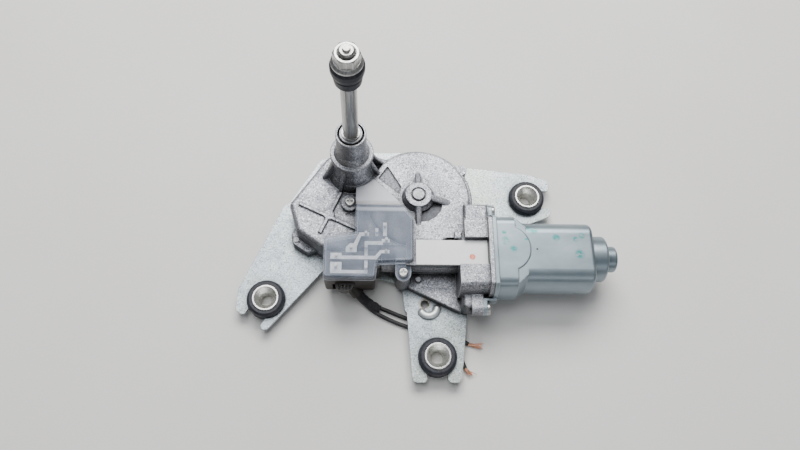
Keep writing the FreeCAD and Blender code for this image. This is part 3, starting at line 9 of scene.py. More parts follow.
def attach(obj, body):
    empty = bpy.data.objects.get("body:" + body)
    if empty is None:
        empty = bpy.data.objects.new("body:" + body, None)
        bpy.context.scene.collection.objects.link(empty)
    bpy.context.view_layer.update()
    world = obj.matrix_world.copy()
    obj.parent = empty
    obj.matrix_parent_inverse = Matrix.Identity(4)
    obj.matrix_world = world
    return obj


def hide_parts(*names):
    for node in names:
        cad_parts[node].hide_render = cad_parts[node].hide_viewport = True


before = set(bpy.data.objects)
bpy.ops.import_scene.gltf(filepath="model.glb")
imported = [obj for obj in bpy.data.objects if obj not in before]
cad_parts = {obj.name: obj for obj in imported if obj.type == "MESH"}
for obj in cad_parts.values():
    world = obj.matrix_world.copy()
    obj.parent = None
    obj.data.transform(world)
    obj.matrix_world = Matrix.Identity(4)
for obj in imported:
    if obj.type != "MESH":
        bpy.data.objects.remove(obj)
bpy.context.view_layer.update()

MM = 0.001
UP = Vector((0, 0, 1))
rng = random.Random(7)


# ---------------------------------------------------------------- camera
SENSOR_WIDTH = 36.0
LENS = 29.25
NEAR_CLIP = 0.01
# degrees about X, then Y, then Z, from the frame to the camera
CAMERA_ANGLES = (-21.907, 2.397, -0.761)
CAMERA_PLACE = (13.35, -188.28, 406.58)   # millimetres


def make_camera():
    """A close, steep view from above the low arm, with the shaft leaning towards the lens."""
    data = bpy.data.cameras.new("camera")
    data.sensor_width = SENSOR_WIDTH
    data.lens = LENS
    data.clip_start = NEAR_CLIP
    camera = bpy.data.objects.new("camera", data)
    bpy.context.scene.collection.objects.link(camera)
    about_x, about_y, about_z = (math.radians(angle) for angle in CAMERA_ANGLES)
    to_camera = (Matrix.Rotation(about_z, 3, "Z") @ Matrix.Rotation(about_y, 3, "Y")
                 @ Matrix.Rotation(about_x, 3, "X"))
    camera.matrix_world = to_camera.transposed().to_4x4()
    camera.location = Vector(CAMERA_PLACE) * MM
    bpy.context.scene.camera = camera


make_camera()


# ---------------------------------------------------------------- material tools
MIX_A, MIX_B, MIX_RESULT = 6, 7, 2        # the Mix node's colour sockets
FLAT_FACE, WORN_AND_LIT_EDGE = 0.995, 0.86        # rounded normal against true normal
OPEN_SKY, DEEP_CORNER = 0.92, 0.35        # share of the sky that a point sees


class Paint:
    """A short way to wire one procedural material.

    Lengths are given in millimetres and noise scales per metre. The plain colour and roughness
    stand in wherever the nodes that drive them aren't read.
    """

    def __init__(self, name, colour, roughness, metallic=0.0, specular=0.5):
        self.material = bpy.data.materials.new(name)
        self.material.use_nodes = True
        self.tree = self.material.node_tree
        self.shader = self.tree.nodes["Principled BSDF"]
        for socket, value in (("Base Color", (*colour, 1)), ("Metallic", metallic),
                              ("Roughness", roughness), ("Specular IOR Level", specular)):
            self.shader.inputs[socket].default_value = value
        self.coords = self.add("ShaderNodeTexCoord").outputs["Object"]
        self.normal = None

    def add(self, kind, **settings):
        node = self.tree.nodes.new(kind)
        for key, value in settings.items():
            setattr(node, key, value)
        return node

    def feed(self, value, target):
        """Links a node's output to a socket, or sets a plain value on it."""
        if isinstance(value, bpy.types.NodeSocket):
            self.tree.links.new(value, target)
        else:
            target.default_value = value

    def noise(self, scale, detail, rough, stretch=None, distortion=0.0):
        node = self.add("ShaderNodeTexNoise")
        for socket, value in (("Scale", scale), ("Detail", detail), ("Roughness", rough),
                              ("Distortion", distortion)):
            node.inputs[socket].default_value = value
        place = self.coords
        if stretch is not None:
            mapping = self.add("ShaderNodeMapping")
            mapping.inputs["Scale"].default_value = stretch
            self.feed(place, mapping.inputs["Vector"])
            place = mapping.outputs["Vector"]
        self.feed(place, node.inputs["Vector"])
        return node.outputs["Fac"]

    def ramp(self, factor, low, high, ease="LINEAR"):
        """0 at low, 1 at high, and no further either way."""
        node = self.add("ShaderNodeMapRange", interpolation_type=ease)
        node.inputs["From Min"].default_value = low
        node.inputs["From Max"].default_value = high
        self.feed(factor, node.inputs["Value"])
        return node.outputs["Result"]

    def spread(self, factor, low, high):
        """low where the factor is 0, high where it is 1."""
        node = self.add("ShaderNodeMapRange")
        node.inputs["To Min"].default_value = low
        node.inputs["To Max"].default_value = high
        self.feed(factor, node.inputs["Value"])
        return node.outputs["Result"]

    def math(self, operation, a, b):
        node = self.add("ShaderNodeMath", operation=operation)
        self.feed(a, node.inputs[0])
        self.feed(b, node.inputs[1])
        return node.outputs["Value"]

    def times(self, a, b):
        return self.math("MULTIPLY", a, b)

    def mix(self, factor, a, b):
        node = self.add("ShaderNodeMix", data_type="RGBA")
        self.feed(factor, node.inputs["Factor"])
        for colour, socket in ((a, node.inputs[MIX_A]), (b, node.inputs[MIX_B])):
            self.feed((*colour, 1) if isinstance(colour, tuple) else colour, socket)
        return node.outputs[MIX_RESULT]

    def layers(self, base, *coats):
        """Lays coats over a base, lowest first: each a mask, how much it covers, and a colour."""
        for mask, cover, colour in coats:
            base = self.mix(self.times(mask, cover), base, colour)
        return base

    def spot(self, centre, radius, soft):
        """1 inside a ball about a point, falling to 0 over its soft rim."""
        node = self.add("ShaderNodeVectorMath", operation="DISTANCE")
        self.feed(self.coords, node.inputs[0])
        node.inputs[1].default_value = Vector(centre) * MM
        return self.ramp(node.outputs["Value"], radius * MM, (radius - soft) * MM, "SMOOTHSTEP")

    def along_normal(self, direction):
        """How nearly a direction follows the surface's true normal."""
        dot = self.add("ShaderNodeVectorMath", operation="DOT_PRODUCT")
        self.feed(direction, dot.inputs[0])
        self.feed(self.add("ShaderNodeNewGeometry").outputs["Normal"], dot.inputs[1])
        return dot.outputs["Value"]

    def edges(self, width):
        """1 on outside edges, 0 on flat faces: worn edges on most finishes, a painted highlight on
        the clear cover; also rounds the shading of the edges.
        """
        bevel = self.add("ShaderNodeBevel", samples=4)
        bevel.inputs["Radius"].default_value = width * MM
        self.normal = bevel.outputs["Normal"]
        return self.ramp(self.along_normal(self.normal), FLAT_FACE, WORN_AND_LIT_EDGE)

    def facing(self, direction, low, high):
        """1 on faces that look along a direction of the frame."""
        return self.ramp(self.along_normal(direction), low, high)

    def crevices(self, distance):
        """1 deep in corners, where shade falls, 0 in the open: the mask for painted shade."""
        node = self.add("ShaderNodeAmbientOcclusion", samples=6)
        node.inputs["Distance"].default_value = distance * MM
        return self.ramp(node.outputs["AO"], OPEN_SKY, DEEP_CORNER)

    def beyond(self, axis, level, soft):
        """0 below a level on an axis of the frame, rising to 1 over a soft band about it."""
        parts = self.add("ShaderNodeSeparateXYZ")
        self.feed(self.coords, parts.inputs["Vector"])
        return self.ramp(parts.outputs[axis], (level - soft) * MM, (level + soft) * MM)

    def between(self, axis, low, high, soft):
        """1 between two levels on an axis of the frame."""
        return self.times(self.beyond(axis, low, soft),
                          self.math("SUBTRACT", 1.0, self.beyond(axis, high, soft)))

    def bump(self, height, depth, strength):
        node = self.add("ShaderNodeBump")
        node.inputs["Strength"].default_value = strength
        node.inputs["Distance"].default_value = depth * MM
        self.feed(height, node.inputs["Height"])
        if self.normal is not None:
            self.feed(self.normal, node.inputs["Normal"])
        self.normal = node.outputs["Normal"]
        self.feed(self.normal, self.shader.inputs["Normal"])

    def colour(self, source):
        self.feed(source, self.shader.inputs["Base Color"])

    def rough(self, factor, low, high):
        self.feed(self.spread(factor, low, high), self.shader.inputs["Roughness"])


def scaled(colour, by):
    return tuple(min(1.0, by * channel) for channel in colour)


# ---------------------------------------------------------------- metals
SUNK_FLOORS = (30.65, 31.1)      # heights of the sunk wedge and pocket in the wheel disc's top


def cast_case():
    """Shot-blasted die-cast aluminium: silver, pitted, dark speckled, with painted shade in its
    corners and on its faces that look left and front.
    """
    shade, silver = (0.24, 0.25, 0.28), (0.42, 0.435, 0.475)
    bloom, dark_fleck, bright_fleck = (0.56, 0.575, 0.61), (0.065, 0.068, 0.082), (0.92, 0.93, 0.97)
    sunk, side_shade, deep_corner_shade = (0.055, 0.06, 0.07), (0.055, 0.05, 0.048), (0.026, 0.025, 0.026)
    rubbed = (0.84, 0.86, 0.90)
    up, left_and_front = (0.0, 0.0, 1.0), (-0.75, -0.66, 0.0)
    p = Paint("cast_case", (0.5, 0.5, 0.52), metallic=0.70, roughness=0.5)
    edge_wear_and_highlight = p.edges(0.55)
    broad = p.noise(scale=34, detail=5, rough=0.6)
    clouds = p.noise(scale=170, detail=6, rough=0.65)
    fleck = p.noise(scale=1050, detail=3, rough=0.75)
    spark = p.noise(scale=1350, detail=2, rough=0.6)
    floors = p.times(p.between("Z", *SUNK_FLOORS, soft=0.1), p.facing(up, 0.6, 0.9))
    # painted shade, in patches, on faces that look left and front, away from the key light
    shaded_sides = p.times(p.facing(left_and_front, 0.30, 0.85), p.ramp(broad, 0.2, 0.55))
    p.colour(p.layers(
        p.mix(p.ramp(broad, 0.36, 0.66), shade, silver),
        (p.ramp(clouds, 0.46, 0.68), 0.5, bloom),
        (p.ramp(fleck, 0.52, 0.585), 0.8, dark_fleck),
        (p.ramp(spark, 0.57, 0.64), 0.85, bright_fleck),
        (floors, 0.9, sunk),
        # painted shade on the faces that look left and front
        (shaded_sides, 0.75, side_shade),
        # painted shade: darkens corners by how little of the sky they see
        (p.crevices(9), 0.95, deep_corner_shade),
        (edge_wear_and_highlight, 0.75, rubbed)))
    p.rough(fleck, 0.32, 0.66)
    p.bump(clouds, depth=0.14, strength=0.6)
    p.bump(fleck, depth=0.08, strength=0.8)
    return p.material


BEAD_CREST = (8.8, 11.0)         # heights of the pressed bead's crest on the low arm, painted bright as a highlight
CLIP_HOLE = (46.8, -81.6, 7.6)


def zinc_plate():
    """Zinc-plated sheet: blue-white, with pale bloom, dark specks and a yellow-green cast."""
    shade, zinc = (0.30, 0.345, 0.375), (0.43, 0.485, 0.515)
    passivate, pale = (0.40, 0.445, 0.33), (0.66, 0.71, 0.75)
    dark_speck, bright_speck = (0.10, 0.115, 0.13), (0.86, 0.90, 0.94)
    crest_highlight, rust = (0.86, 0.88, 0.88), (0.26, 0.20, 0.10)
    corner_shade, rubbed = (0.06, 0.06, 0.058), (0.84, 0.86, 0.87)
    p = Paint("zinc_plate", (0.6, 0.64, 0.65), metallic=0.72, roughness=0.42)
    edge_wear_and_highlight = p.edges(0.4)
    cloud = p.noise(scale=70, detail=6, rough=0.66, distortion=0.6)
    cast = p.noise(scale=20, detail=3, rough=0.5)
    bloom = p.noise(scale=330, detail=5, rough=0.72)
    speck = p.noise(scale=900, detail=3, rough=0.7)
    spark = p.noise(scale=1300, detail=2, rough=0.6)
    rusted = p.times(p.spot(CLIP_HOLE, radius=4.6, soft=2.2), p.ramp(bloom, 0.3, 0.5))
    p.colour(p.layers(
        p.mix(p.ramp(cloud, 0.36, 0.64), shade, zinc),
        (p.ramp(cast, 0.47, 0.66), 0.5, passivate),
        (p.ramp(bloom, 0.48, 0.64), 0.55, pale),
        (p.ramp(speck, 0.53, 0.60), 0.7, dark_speck),
        (p.ramp(spark, 0.58, 0.65), 0.7, bright_speck),
        # painted highlight on the bead's crest
        (p.between("Z", *BEAD_CREST, soft=0.5), 0.75, crest_highlight),
        (rusted, 0.75, rust),
        # painted shade in corners
        (p.crevices(6), 0.8, corner_shade),
        (edge_wear_and_highlight, 0.4, rubbed)))
    p.rough(bloom, 0.28, 0.56)
    p.bump(bloom, depth=0.035, strength=0.5)
    p.bump(speck, depth=0.03, strength=0.5)
    return p.material


# each marker smear's centre and radius, and the same for the one dark dot among them
MARKER_SPOTS = [
    ((94.5, -49.5, 38.5), 2.8), ((93.8, -44.0, 38.5), 1.4), ((112.5, -42.5, 38.0), 2.2),
    ((109.0, -41.5, 38.0), 1.7), ((142.0, -45.5, 38.0), 2.0), ((138.0, -48.0, 38.0), 1.8),
    ((139.5, -57.5, 38.0), 2.9), ((99.0, -55.0, 38.5), 2.2), ((126.0, -47.0, 38.0), 2.4),
    ((107.5, -49.0, 38.0), 1.6),
]
SMEAR_REACH, SMEAR_SOFTNESS = 1.35, 0.9    # the mask's radius and soft rim, over the smear's radius
DARK_DOT = ((113.6, -54.6, 38.0), 0.75)


def can_steel():
    """Deep-drawn galvanised steel, blue-grey and satin, with smeared teal marker on top."""
    shade, steel, bloom = (0.20, 0.255, 0.29), (0.31, 0.37, 0.41), (0.24, 0.28, 0.30)
    teal, dark = (0.012, 0.22, 0.21), (0.03, 0.03, 0.035)
    corner_shade, rubbed = (0.10, 0.11, 0.115), (0.74, 0.80, 0.83)
    p = Paint("can_steel", (0.38, 0.43, 0.46), metallic=0.78, roughness=0.38)
    edge_wear_and_highlight = p.edges(0.8)
    cloud = p.noise(scale=42, detail=5, rough=0.6, stretch=(0.5, 1.0, 1.0))
    fine = p.noise(scale=620, detail=4, rough=0.6)
    smear = p.ramp(p.noise(scale=560, detail=4, rough=0.75, stretch=(0.55, 1.0, 1.0)), 0.40, 0.53)
    spots = [p.spot(centre, radius * SMEAR_REACH, radius * SMEAR_SOFTNESS)
             for centre, radius in MARKER_SPOTS]
    p.colour(p.layers(
        p.mix(p.ramp(cloud, 0.34, 0.66), shade, steel),
        (p.ramp(fine, 0.55, 0.72), 0.3, bloom),
        *((p.times(spot, smear), 0.9, teal) for spot in spots),
        (p.spot(*DARK_DOT, soft=0.3), 1.0, dark),
        # painted shade in corners
        (p.crevices(6), 0.55, corner_shade),
        (edge_wear_and_highlight, 0.6, rubbed)))
    p.rough(cloud, 0.28, 0.50)
    p.bump(cloud, depth=0.06, strength=0.25)
    p.bump(fine, depth=0.012, strength=0.4)
    return p.material


def bright_steel(name="bright_steel", tint=(0.60, 0.60, 0.59), streak=(60, 60, 4)):
    """Machined steel with fine tool lines and a little haze."""
    film, rubbed = (0.30, 0.285, 0.26), (0.82, 0.82, 0.81)
    p = Paint(name, tint, metallic=0.92, roughness=0.27)
    edge_wear_and_highlight = p.edges(0.25)
    lines = p.noise(scale=18, detail=5, rough=0.7, stretch=streak)
    haze = p.noise(scale=190, detail=5, rough=0.6)
    p.colour(p.layers(
        p.mix(p.ramp(lines, 0.36, 0.64), scaled(tint, 0.55), tint),
        (p.ramp(haze, 0.52, 0.7), 0.35, film),
        (edge_wear_and_highlight, 0.5, rubbed)))
    p.rough(haze, 0.18, 0.44)
    p.bump(lines, depth=0.012, strength=0.5)
    return p.material


def sleeve_steel():
    """Bright zinc on the sleeves, with a yellow passivated tint and painted shade, tinted straw, down
    the funnel.
    """
    straw, bright = (0.60, 0.61, 0.56), (0.80, 0.80, 0.80)
    straw_corner_shade, rubbed = (0.20, 0.18, 0.12), (0.92, 0.92, 0.91)
    p = Paint("sleeve_steel", (0.74, 0.74, 0.72), metallic=0.85, roughness=0.26)
    edge_wear_and_highlight = p.edges(0.3)
    tone = p.noise(scale=150, detail=4, rough=0.6)
    p.colour(p.layers(
        p.mix(p.ramp(tone, 0.4, 0.62), straw, bright),
        # painted shade in corners, tinted straw
        (p.crevices(5), 0.75, straw_corner_shade),
        (edge_wear_and_highlight, 0.6, rubbed)))
    p.rough(tone, 0.16, 0.4)
    p.bump(tone, depth=0.02, strength=0.4)
    return p.material


def coloured_metal(name, low, high, metallic=0.85, roughness=(0.3, 0.5), grain=500):
    """A grained finish between two colours, with a darker patina; fibre and carbon use it too."""
    p = Paint(name, high, metallic=metallic, roughness=0.4)
    p.edges(0.2)
    tone = p.noise(scale=grain, detail=4, rough=0.6)
    patina = p.noise(scale=grain / 6, detail=5, rough=0.65)
    p.colour(p.layers(
        p.mix(p.ramp(tone, 0.36, 0.64), low, high),
        (p.ramp(patina, 0.5, 0.7), 0.4, scaled(low, 0.5))))
    p.rough(patina, *roughness)
    p.bump(tone, depth=0.02, strength=0.5)
    return p.material


# ---------------------------------------------------------------- rubber, plastic, label
def black_rubber():
    """Moulded rubber with dust caught on its skin."""
    black, worn_black = (0.010, 0.011, 0.016), (0.028, 0.031, 0.042)
    dusty, rubbed = (0.10, 0.105, 0.12), (0.16, 0.165, 0.18)
    p = Paint("black_rubber", (0.02, 0.022, 0.028), roughness=0.5, specular=0.4)
    edge_wear_and_highlight = p.edges(0.4)
    skin = p.noise(scale=700, detail=4, rough=0.6)
    dust = p.noise(scale=95, detail=5, rough=0.7)
    p.colour(p.layers(
        p.mix(p.ramp(skin, 0.35, 0.65), black, worn_black),
        (p.ramp(dust, 0.54, 0.72), 0.35, dusty),
        (edge_wear_and_highlight, 0.18, rubbed)))
    p.rough(dust, 0.36, 0.66)
    p.bump(skin, depth=0.03, strength=0.5)
    return p.material


def moulded(name, low, high, roughness=(0.38, 0.6), grain=900, corner_shade=0.3):
    """Moulded plastic between two colours, paler along its edges and darkened by painted shade in its
    corners.
    """
    crevice_shade = (0.02, 0.018, 0.015)
    p = Paint(name, high, roughness=0.5, specular=0.45)
    edge_wear_and_highlight = p.edges(0.3)
    skin = p.noise(scale=grain, detail=3, rough=0.6)
    cloud = p.noise(scale=70, detail=5, rough=0.6)
    p.colour(p.layers(
        p.mix(p.ramp(cloud, 0.35, 0.68), low, high),
        (p.ramp(skin, 0.55, 0.7), 0.2, scaled(low, 0.6)),
        # painted shade in corners
        (p.crevices(4), corner_shade, crevice_shade),
        (edge_wear_and_highlight, 0.15, scaled(high, 1.6))))
    p.rough(cloud, *roughness)
    p.bump(skin, depth=0.02, strength=0.4)
    return p.material


# Y levels on the cover, from its clear lid back to its milky chute; the rib band and the chute carry
# painted highlights, the crease painted shade
RIB_BAND = (-30.6, -28.2)
CHUTE_FOOT = -26.4
CREASE_END = -24.2
CLEAREST, MILKIEST = 0.15, 0.92            # alpha


def clear_cover():
    """Translucent plastic: clear over the tracks, milky on its chute, with painted highlights on its
    chute, rib band and edges, and painted shade in the chute's crease.
    """
    shade, tint, milky_highlight = (0.40, 0.48, 0.64), (0.56, 0.65, 0.82), (0.84, 0.86, 0.92)
    rib_highlight, crease_shade, edge_white = (0.80, 0.84, 0.92), (0.40, 0.385, 0.41), (0.88, 0.91, 0.97)
    p = Paint("clear_cover", (0.66, 0.72, 0.82), roughness=0.2, specular=0.7)
    edge_wear_and_highlight = p.edges(1.0)
    flow = p.noise(scale=60, detail=5, rough=0.6, stretch=(1.0, 0.4, 1.0), distortion=0.8)
    scuff = p.noise(scale=900, detail=4, rough=0.7)
    chute = p.beyond("Y", CHUTE_FOOT, soft=0.5)
    rib_band = p.between("Y", *RIB_BAND, soft=0.4)
    crease = p.times(chute, p.math("SUBTRACT", 1.0, p.beyond("Y", CREASE_END, soft=0.9)))
    p.colour(p.layers(
        p.mix(p.ramp(flow, 0.35, 0.65), shade, tint),
        # the milky chute, under a painted highlight
        (chute, 1.0, milky_highlight),
        # painted highlight along the rib band
        (rib_band, 0.5, rib_highlight),
        # painted shade in the crease at the chute's foot
        (crease, 0.75, crease_shade),
        # painted highlight along the cover's edges
        (edge_wear_and_highlight, 0.9, edge_white)))
    milk = p.times(p.ramp(flow, 0.4, 0.75), 0.15)
    for mask, share in ((edge_wear_and_highlight, 0.8), (chute, 0.75), (rib_band, 0.35)):
        milk = p.math("MAXIMUM", milk, p.times(mask, share))
    p.feed(p.spread(milk, CLEAREST, MILKIEST), p.shader.inputs["Alpha"])
    p.rough(scuff, 0.10, 0.32)
    p.bump(flow, depth=0.05, strength=0.25)
    p.bump(scuff, depth=0.01, strength=0.4)
    return p.material


INSPECTION_DOT = (74.6, -58.2, 32.5)


def label_film():
    """Plain white film, yellowed and chipped along its edges, with an orange-red inspection dot."""
    off_white, white = (0.86, 0.87, 0.88), (0.95, 0.955, 0.965)
    scratch, bare = (0.55, 0.53, 0.49), (0.30, 0.27, 0.23)
    red, worn_red = (0.82, 0.10, 0.045), (0.86, 0.34, 0.24)
    p = Paint("label_film", (0.84, 0.84, 0.83), roughness=0.42, specular=0.4)
    edge_wear_and_highlight = p.edges(0.5)
    tone = p.noise(scale=48, detail=5, rough=0.65)
    chip = p.noise(scale=480, detail=4, rough=0.7)
    p.colour(p.layers(
        p.mix(p.ramp(tone, 0.35, 0.7), off_white, white),
        (p.ramp(chip, 0.6, 0.72), 0.35, scratch),
        (edge_wear_and_highlight, p.ramp(chip, 0.45, 0.6), bare),
        (p.spot(INSPECTION_DOT, radius=2.1, soft=0.5), 0.92,
         p.mix(p.ramp(chip, 0.40, 0.62), red, worn_red))))
    p.rough(tone, 0.3, 0.55)
    p.bump(chip, depth=0.01, strength=0.3)
    return p.material


def cloth_tape():
    """Black harness tape: matt, finely woven, dusty."""
    black, thread, dusty = (0.008, 0.008, 0.010), (0.030, 0.030, 0.034), (0.12, 0.11, 0.10)
    p = Paint("cloth_tape", (0.018, 0.018, 0.02), roughness=0.7, specular=0.3)
    weave = p.noise(scale=2200, detail=2, rough=0.5, stretch=(1.0, 1.0, 0.4))
    dust = p.noise(scale=210, detail=4, rough=0.7)
    p.colour(p.layers(
        p.mix(p.ramp(weave, 0.4, 0.6), black, thread),
        (p.ramp(dust, 0.55, 0.72), 0.35, dusty)))
    p.rough(dust, 0.55, 0.85)
    p.bump(weave, depth=0.04, strength=0.6)
    return p.material


def floor_paper():
    """Pale studio paper with a faint tone and grain."""
    shade, pale = (0.76, 0.75, 0.73), (0.80, 0.79, 0.775)
    p = Paint("floor_paper", (0.80, 0.79, 0.77), roughness=0.75, specular=0.25)
    tone = p.noise(scale=9, detail=4, rough=0.5)
    grain = p.noise(scale=900, detail=3, rough=0.6)
    p.colour(p.mix(p.ramp(tone, 0.3, 0.7), shade, pale))
    p.rough(tone, 0.7, 0.8)
    p.bump(grain, depth=0.03, strength=0.25)
    return p.material


# ---------------------------------------------------------------- the carried-over CAD nodes
def paint_nodes():
    """Gives each node its finish. The four harness nodes are left to the pieces that replace them."""
    finishes = [
        (cast_case(), "gear_housing"),
        (zinc_plate(), "bracket_plate sector_gear holding_lever"),
        (can_steel(), "motor_can"),
        (bright_steel(), "arm_nut retaining_ring thrust_washer output_pinion link_pin crank_pin"
                         " armature_shaft brush_springs boss_screw cover_screw flange_screws"),
        (bright_steel("rod_steel", (0.50, 0.50, 0.49), streak=(70, 70, 3)), "output_shaft"),
        (sleeve_steel(), "sleeve_left sleeve_low sleeve_right"),
        (coloured_metal("dull_steel", (0.20, 0.205, 0.22), (0.40, 0.41, 0.43),
                        metallic=0.8, roughness=(0.35, 0.6), grain=900),
         "wheel_pin housing_rivets shaft_washer"),
        (coloured_metal("tinned_track", (0.72, 0.74, 0.76), (0.96, 0.96, 0.96),
                        metallic=0.0, roughness=(0.35, 0.5), grain=260),
         "terminal_tracks contact_rivets"),
        (coloured_metal("bronze", (0.42, 0.24, 0.10), (0.62, 0.40, 0.20)),
         "lower_bush upper_bush front_bearing tail_bearing"),
        (coloured_metal("copper", (0.55, 0.20, 0.10), (0.86, 0.44, 0.28)),
         "park_disc windings commutator connector_pins"),
        (coloured_metal("gasket_fibre", (0.10, 0.09, 0.075), (0.22, 0.19, 0.15),
                        metallic=0.0, roughness=(0.7, 0.9)),
         "housing_gasket"),
        (coloured_metal("laminations", (0.20, 0.20, 0.20), (0.34, 0.34, 0.34),
                        metallic=0.8, roughness=(0.4, 0.6), grain=900),
         "armature_core"),
        (coloured_metal("ferrite", (0.035, 0.035, 0.037), (0.07, 0.07, 0.072),
                        metallic=0.1, roughness=(0.6, 0.85)),
         "magnets"),
        (coloured_metal("carbon", (0.03, 0.03, 0.032), (0.075, 0.075, 0.078),
                        metallic=0.2, roughness=(0.45, 0.7)),
         "brushes"),
        (black_rubber(), "shaft_cap shaft_seal grommet_left grommet_low grommet_right"),
        (moulded("dark_plastic", (0.016, 0.012, 0.010), (0.038, 0.030, 0.025)),
         "brush_holder thrust_screw connector_housing"),
        (moulded("gear_plastic", (0.50, 0.46, 0.36), (0.68, 0.64, 0.52)), "worm_wheel"),
        (clear_cover(), "terminal_cover"),
        (label_film(), "label_plate"),
    ]
    for material, names in finishes:
        for name in names.split():
            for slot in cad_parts[name].material_slots:
                slot.link = "OBJECT"
                slot.material = material


paint_nodes()


# ---------------------------------------------------------------- curves and meshes
def curve_object(name, lines, radius, material, bevel=4, resolution=12):
    """Open NURBS tubes, one along each line of control points, in metres."""
    data = bpy.data.curves.new(name, "CURVE")
    data.dimensions = "3D"
    data.bevel_depth = radius
    data.bevel_resolution = bevel
    data.use_fill_caps = True
    data.resolution_u = resolution
    if material is not None:
        data.materials.append(material)
    for line in lines:
        spline = data.splines.new("NURBS")
        spline.points.add(len(line) - 1)
        for point, place in zip(spline.points, line):
            point.co = (*place, 1.0)
        spline.order_u = 3
        spline.use_endpoint_u = True
    obj = bpy.data.objects.new(name, data)
    bpy.context.scene.collection.objects.link(obj)
    return obj


def read_line(points, resolution=12):
    """The points that a NURBS line through these control points really follows."""
    guide = curve_object("guide", [points], 0.0, None, resolution=resolution)
    mesh = bpy.data.meshes.new_from_object(guide)
    line = [vertex.co.copy() for vertex in mesh.vertices]
    bpy.data.meshes.remove(mesh)
    bpy.data.objects.remove(guide)
    return line


def mesh_object(name, mesh, material, smooth):
    data = bpy.data.meshes.new(name)
    bmesh.ops.recalc_face_normals(mesh, faces=mesh.faces)
    mesh.to_mesh(data)
    mesh.free()
    data.materials.append(material)
    for face in data.polygons:
        face.use_smooth = smooth
    obj = bpy.data.objects.new(name, data)
    bpy.context.scene.collection.objects.link(obj)
    return obj


def metres(points):
    return [Vector(point) * MM for point in points]


def line_length(line):
    return sum((b - a).length for a, b in zip(line, line[1:]))


# ---------------------------------------------------------------- cords and their ends
# control points in millimetres, from the gland under the connector to each cut end
UPPER_LEAD = [
    (5.941, -73.939, 8.0), (13.195, -80.503, 1.955), (24.5, -85.0, 1.5), (38.0, -90.4, 1.4),
    (52.0, -95.2, 1.4), (64.5, -100.0, 1.4), (74.5, -105.6, 1.4),
]
LOWER_LEAD = [
    (3.659, -76.461, 8.0), (10.914, -83.024, 1.955), (22.0, -89.4, 1.5), (36.0, -95.0, 1.4),
    (50.0, -99.4, 1.4), (62.5, -104.4, 1.4), (69.0, -112.4, 1.4), (71.8, -120.6, 1.4),
]
TAPE_LINE = [(4.8, -75.2, 8.0), (10.225, -80.108, 3.479), (18.6, -84.1, 3.3)]
LEAD_DIAMETER = 2.6 * MM

STRAND_RADIUS = 0.15 * MM
STRAND_POINTS = 8
STRAND_RINGS = (0.30, 0.85)      # millimetres from the lead's axis, by turns
STRAND_ROOT = 0.10               # the share of a strand that starts inside the lead
STRAND_TWIST = 3.0               # radians over a strand's length
STRAND_OPENING = 0.8             # how much wider its ring is at the tip
STRAND_WAVE = 5.0                # radians of waviness over its length
SHORTEST_STRAND = 0.62           # of the longest
HIGHEST_TIP = 1.1 * MM
WIDEST_KINK = 0.35 * MM
LEAN_POWER = 1.6                 # a strand leans more and more towards its tip
LOWEST_STRAND = 0.2 * MM

TAPE_SIDES = 36
TAPE_PITCH = 4.2 * MM
TAPE_RADIUS, LAP_STEP, PUCKER = 2.55, 0.35, 0.08     # millimetres
PUCKERS, PUCKER_DRIFT = 3, 9     # round one turn, and radians that they shift by over a lap
TAPE_WIDER = 1.05                # across the two leads, which lie side by side
TAPE_FLAT, FLAT_SPAN = 0.86, 0.4                     # pressed in above and below
TAPE_TAIL, TAIL_SHARE = 3 * MM, 0.86                 # it thins to this share over its last stretch


def lead(name, node, points, material):
    route = metres(points)
    obj = curve_object(name, [route], LEAD_DIAMETER / 2, material)
    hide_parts(node)
    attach(obj, "root")
    return obj, read_line(route)


def copper_strands(name, line, length, count, spread, lean, material):
    """A frayed bundle of fine strands that twists, opens and leans over beyond a lead's end."""
    start, ahead = line[-1], (line[-1] - line[-2]).normalized()
    side = ahead.cross(UP).normalized()
    strands = []
    for i in range(count):
        angle = 2 * math.pi * i / count
        ring = STRAND_RINGS[i % 2] * MM
        reach = length * rng.uniform(SHORTEST_STRAND, 1.0)
        fan = rng.uniform(-spread, spread)
        lift = rng.uniform(0.0, HIGHEST_TIP)
        kink = rng.uniform(-WIDEST_KINK, WIDEST_KINK)
        strand = []
        for step in range(STRAND_POINTS):
            part = step / (STRAND_POINTS - 1)
            turn = angle + STRAND_TWIST * part
            ring_here = ring * (1 + STRAND_OPENING * part ** 2)
            wave = kink * math.sin(STRAND_WAVE * part + i) * part
            leaning = (fan + lean) * part ** LEAN_POWER * reach
            across = math.cos(turn) * ring_here - leaning + wave
            place = (start + ahead * reach * (part - STRAND_ROOT) + side * across
                     + UP * (math.sin(turn) * ring_here + lift * part ** 2))
            place.z = max(place.z, LOWEST_STRAND)
            strand.append(place)
        strands.append(strand)
    obj = curve_object(name, strands, STRAND_RADIUS, material, bevel=2, resolution=6)
    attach(obj, "root")
    return obj


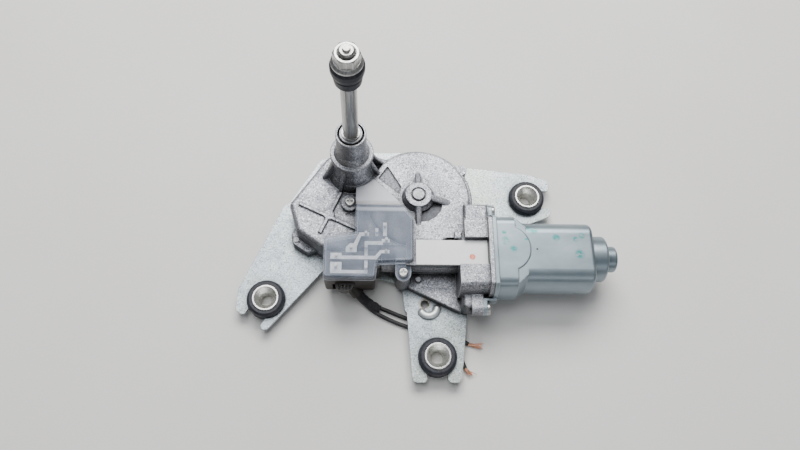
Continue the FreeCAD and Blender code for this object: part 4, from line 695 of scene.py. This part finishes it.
def tape_wrap(material):
    """Tape wound round both leads: each turn laps the last, and the wrap thins at its end."""
    line = read_line(metres(TAPE_LINE), resolution=30)
    total = line_length(line)
    mesh = bmesh.new()
    rings = []
    for i, place in enumerate(line):
        travelled = line_length(line[:i + 1])
        ahead = (line[min(i + 1, len(line) - 1)] - line[max(i - 1, 0)]).normalized()
        side = ahead.cross(UP).normalized()
        over = side.cross(ahead)
        tail = min(1.0, (total - travelled) / TAPE_TAIL)
        ring = []
        for k in range(TAPE_SIDES):
            angle = 2 * math.pi * k / TAPE_SIDES
            lap = (travelled / TAPE_PITCH + k / TAPE_SIDES) % 1.0
            flat = TAPE_FLAT if abs(math.cos(angle)) < FLAT_SPAN else 1.0
            pucker = PUCKER * math.sin(PUCKERS * angle + PUCKER_DRIFT * lap)
            thinned = TAIL_SHARE + (1 - TAIL_SHARE) * tail
            radius = (TAPE_RADIUS + LAP_STEP * lap + pucker) * MM * flat * thinned
            ring.append(mesh.verts.new(place + side * math.cos(angle) * radius * TAPE_WIDER
                                       + over * math.sin(angle) * radius))
        rings.append(ring)
    for first, second in zip(rings, rings[1:]):
        for k in range(TAPE_SIDES):
            after = (k + 1) % TAPE_SIDES
            mesh.faces.new((first[k], first[after], second[after], second[k]))
    mesh.faces.new(rings[0][::-1])
    mesh.faces.new(rings[-1])
    obj = mesh_object("harness_wrap", mesh, material, smooth=True)
    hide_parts("harness_tape")
    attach(obj, "root")
    return obj


def make_harness():
    """Both leads, their frayed copper ends and the tape round them."""
    sheath = moulded("cable_pvc", (0.010, 0.010, 0.011), (0.030, 0.030, 0.033),
                     roughness=(0.32, 0.5), grain=1400, corner_shade=0.2)
    copper = coloured_metal("bare_copper", (0.62, 0.27, 0.15), (0.93, 0.55, 0.40),
                            metallic=0.9, roughness=(0.25, 0.45), grain=1500)
    upper, upper_line = lead("lead_upper", "harness_lead_upper", UPPER_LEAD, sheath)
    lower, lower_line = lead("lead_lower", "harness_lead_lower", LOWER_LEAD, sheath)
    upper_copper = copper_strands("copper_upper", upper_line, length=10.4 * MM, count=22,
                                  spread=0.20, lean=0.34, material=copper)
    lower_copper = copper_strands("copper_lower", lower_line, length=7.0 * MM, count=18,
                                  spread=0.24, lean=0.45, material=copper)
    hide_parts("copper_ends")
    wrap = tape_wrap(cloth_tape())


make_harness()


# ---------------------------------------------------------------- floor and light
FLOOR_OUTLINE = ((-1.5, -1.2, 0), (1.5, -1.2, 0), (1.5, 1.6, 0), (-1.5, 1.6, 0))    # metres
SKY_COLOUR, SKY_STRENGTH = (0.90, 0.93, 1.0, 1), 0.16
# name, place, point it is aimed at, width and depth, all in metres; watts; colour
LIGHTS = [
    ("key", (0.05, 0.62, 0.85), (0.03, -0.05, 0.0), (0.9, 0.5), 19.0, (1.0, 0.985, 0.96)),
    ("top", (-0.15, 0.05, 1.10), (0.03, -0.05, 0.0), (0.5, 0.5), 4.5, (0.96, 0.98, 1.0)),
    ("front", (0.35, -0.9, 0.55), (0.03, -0.05, 0.02), (0.6, 0.4), 1.2, (1.0, 1.0, 1.0)),
]


def make_stage():
    mesh = bmesh.new()
    mesh.faces.new([mesh.verts.new(corner) for corner in FLOOR_OUTLINE])
    mesh_object("floor", mesh, floor_paper(), smooth=False)


def make_light():
    world = bpy.data.worlds.new("studio")
    world.use_nodes = True
    sky = world.node_tree.nodes["Background"]
    sky.inputs["Color"].default_value = SKY_COLOUR
    sky.inputs["Strength"].default_value = SKY_STRENGTH
    bpy.context.scene.world = world
    for name, place, aim, size, power, colour in LIGHTS:
        data = bpy.data.lights.new(name, "AREA")
        data.shape = "RECTANGLE"
        data.size, data.size_y = size
        data.energy = power
        data.color = colour
        obj = bpy.data.objects.new(name, data)
        bpy.context.scene.collection.objects.link(obj)
        obj.location = place
        obj.rotation_mode = "QUATERNION"
        obj.rotation_quaternion = (Vector(aim) - Vector(place)).to_track_quat("-Z", "Y")


make_stage()
make_light()
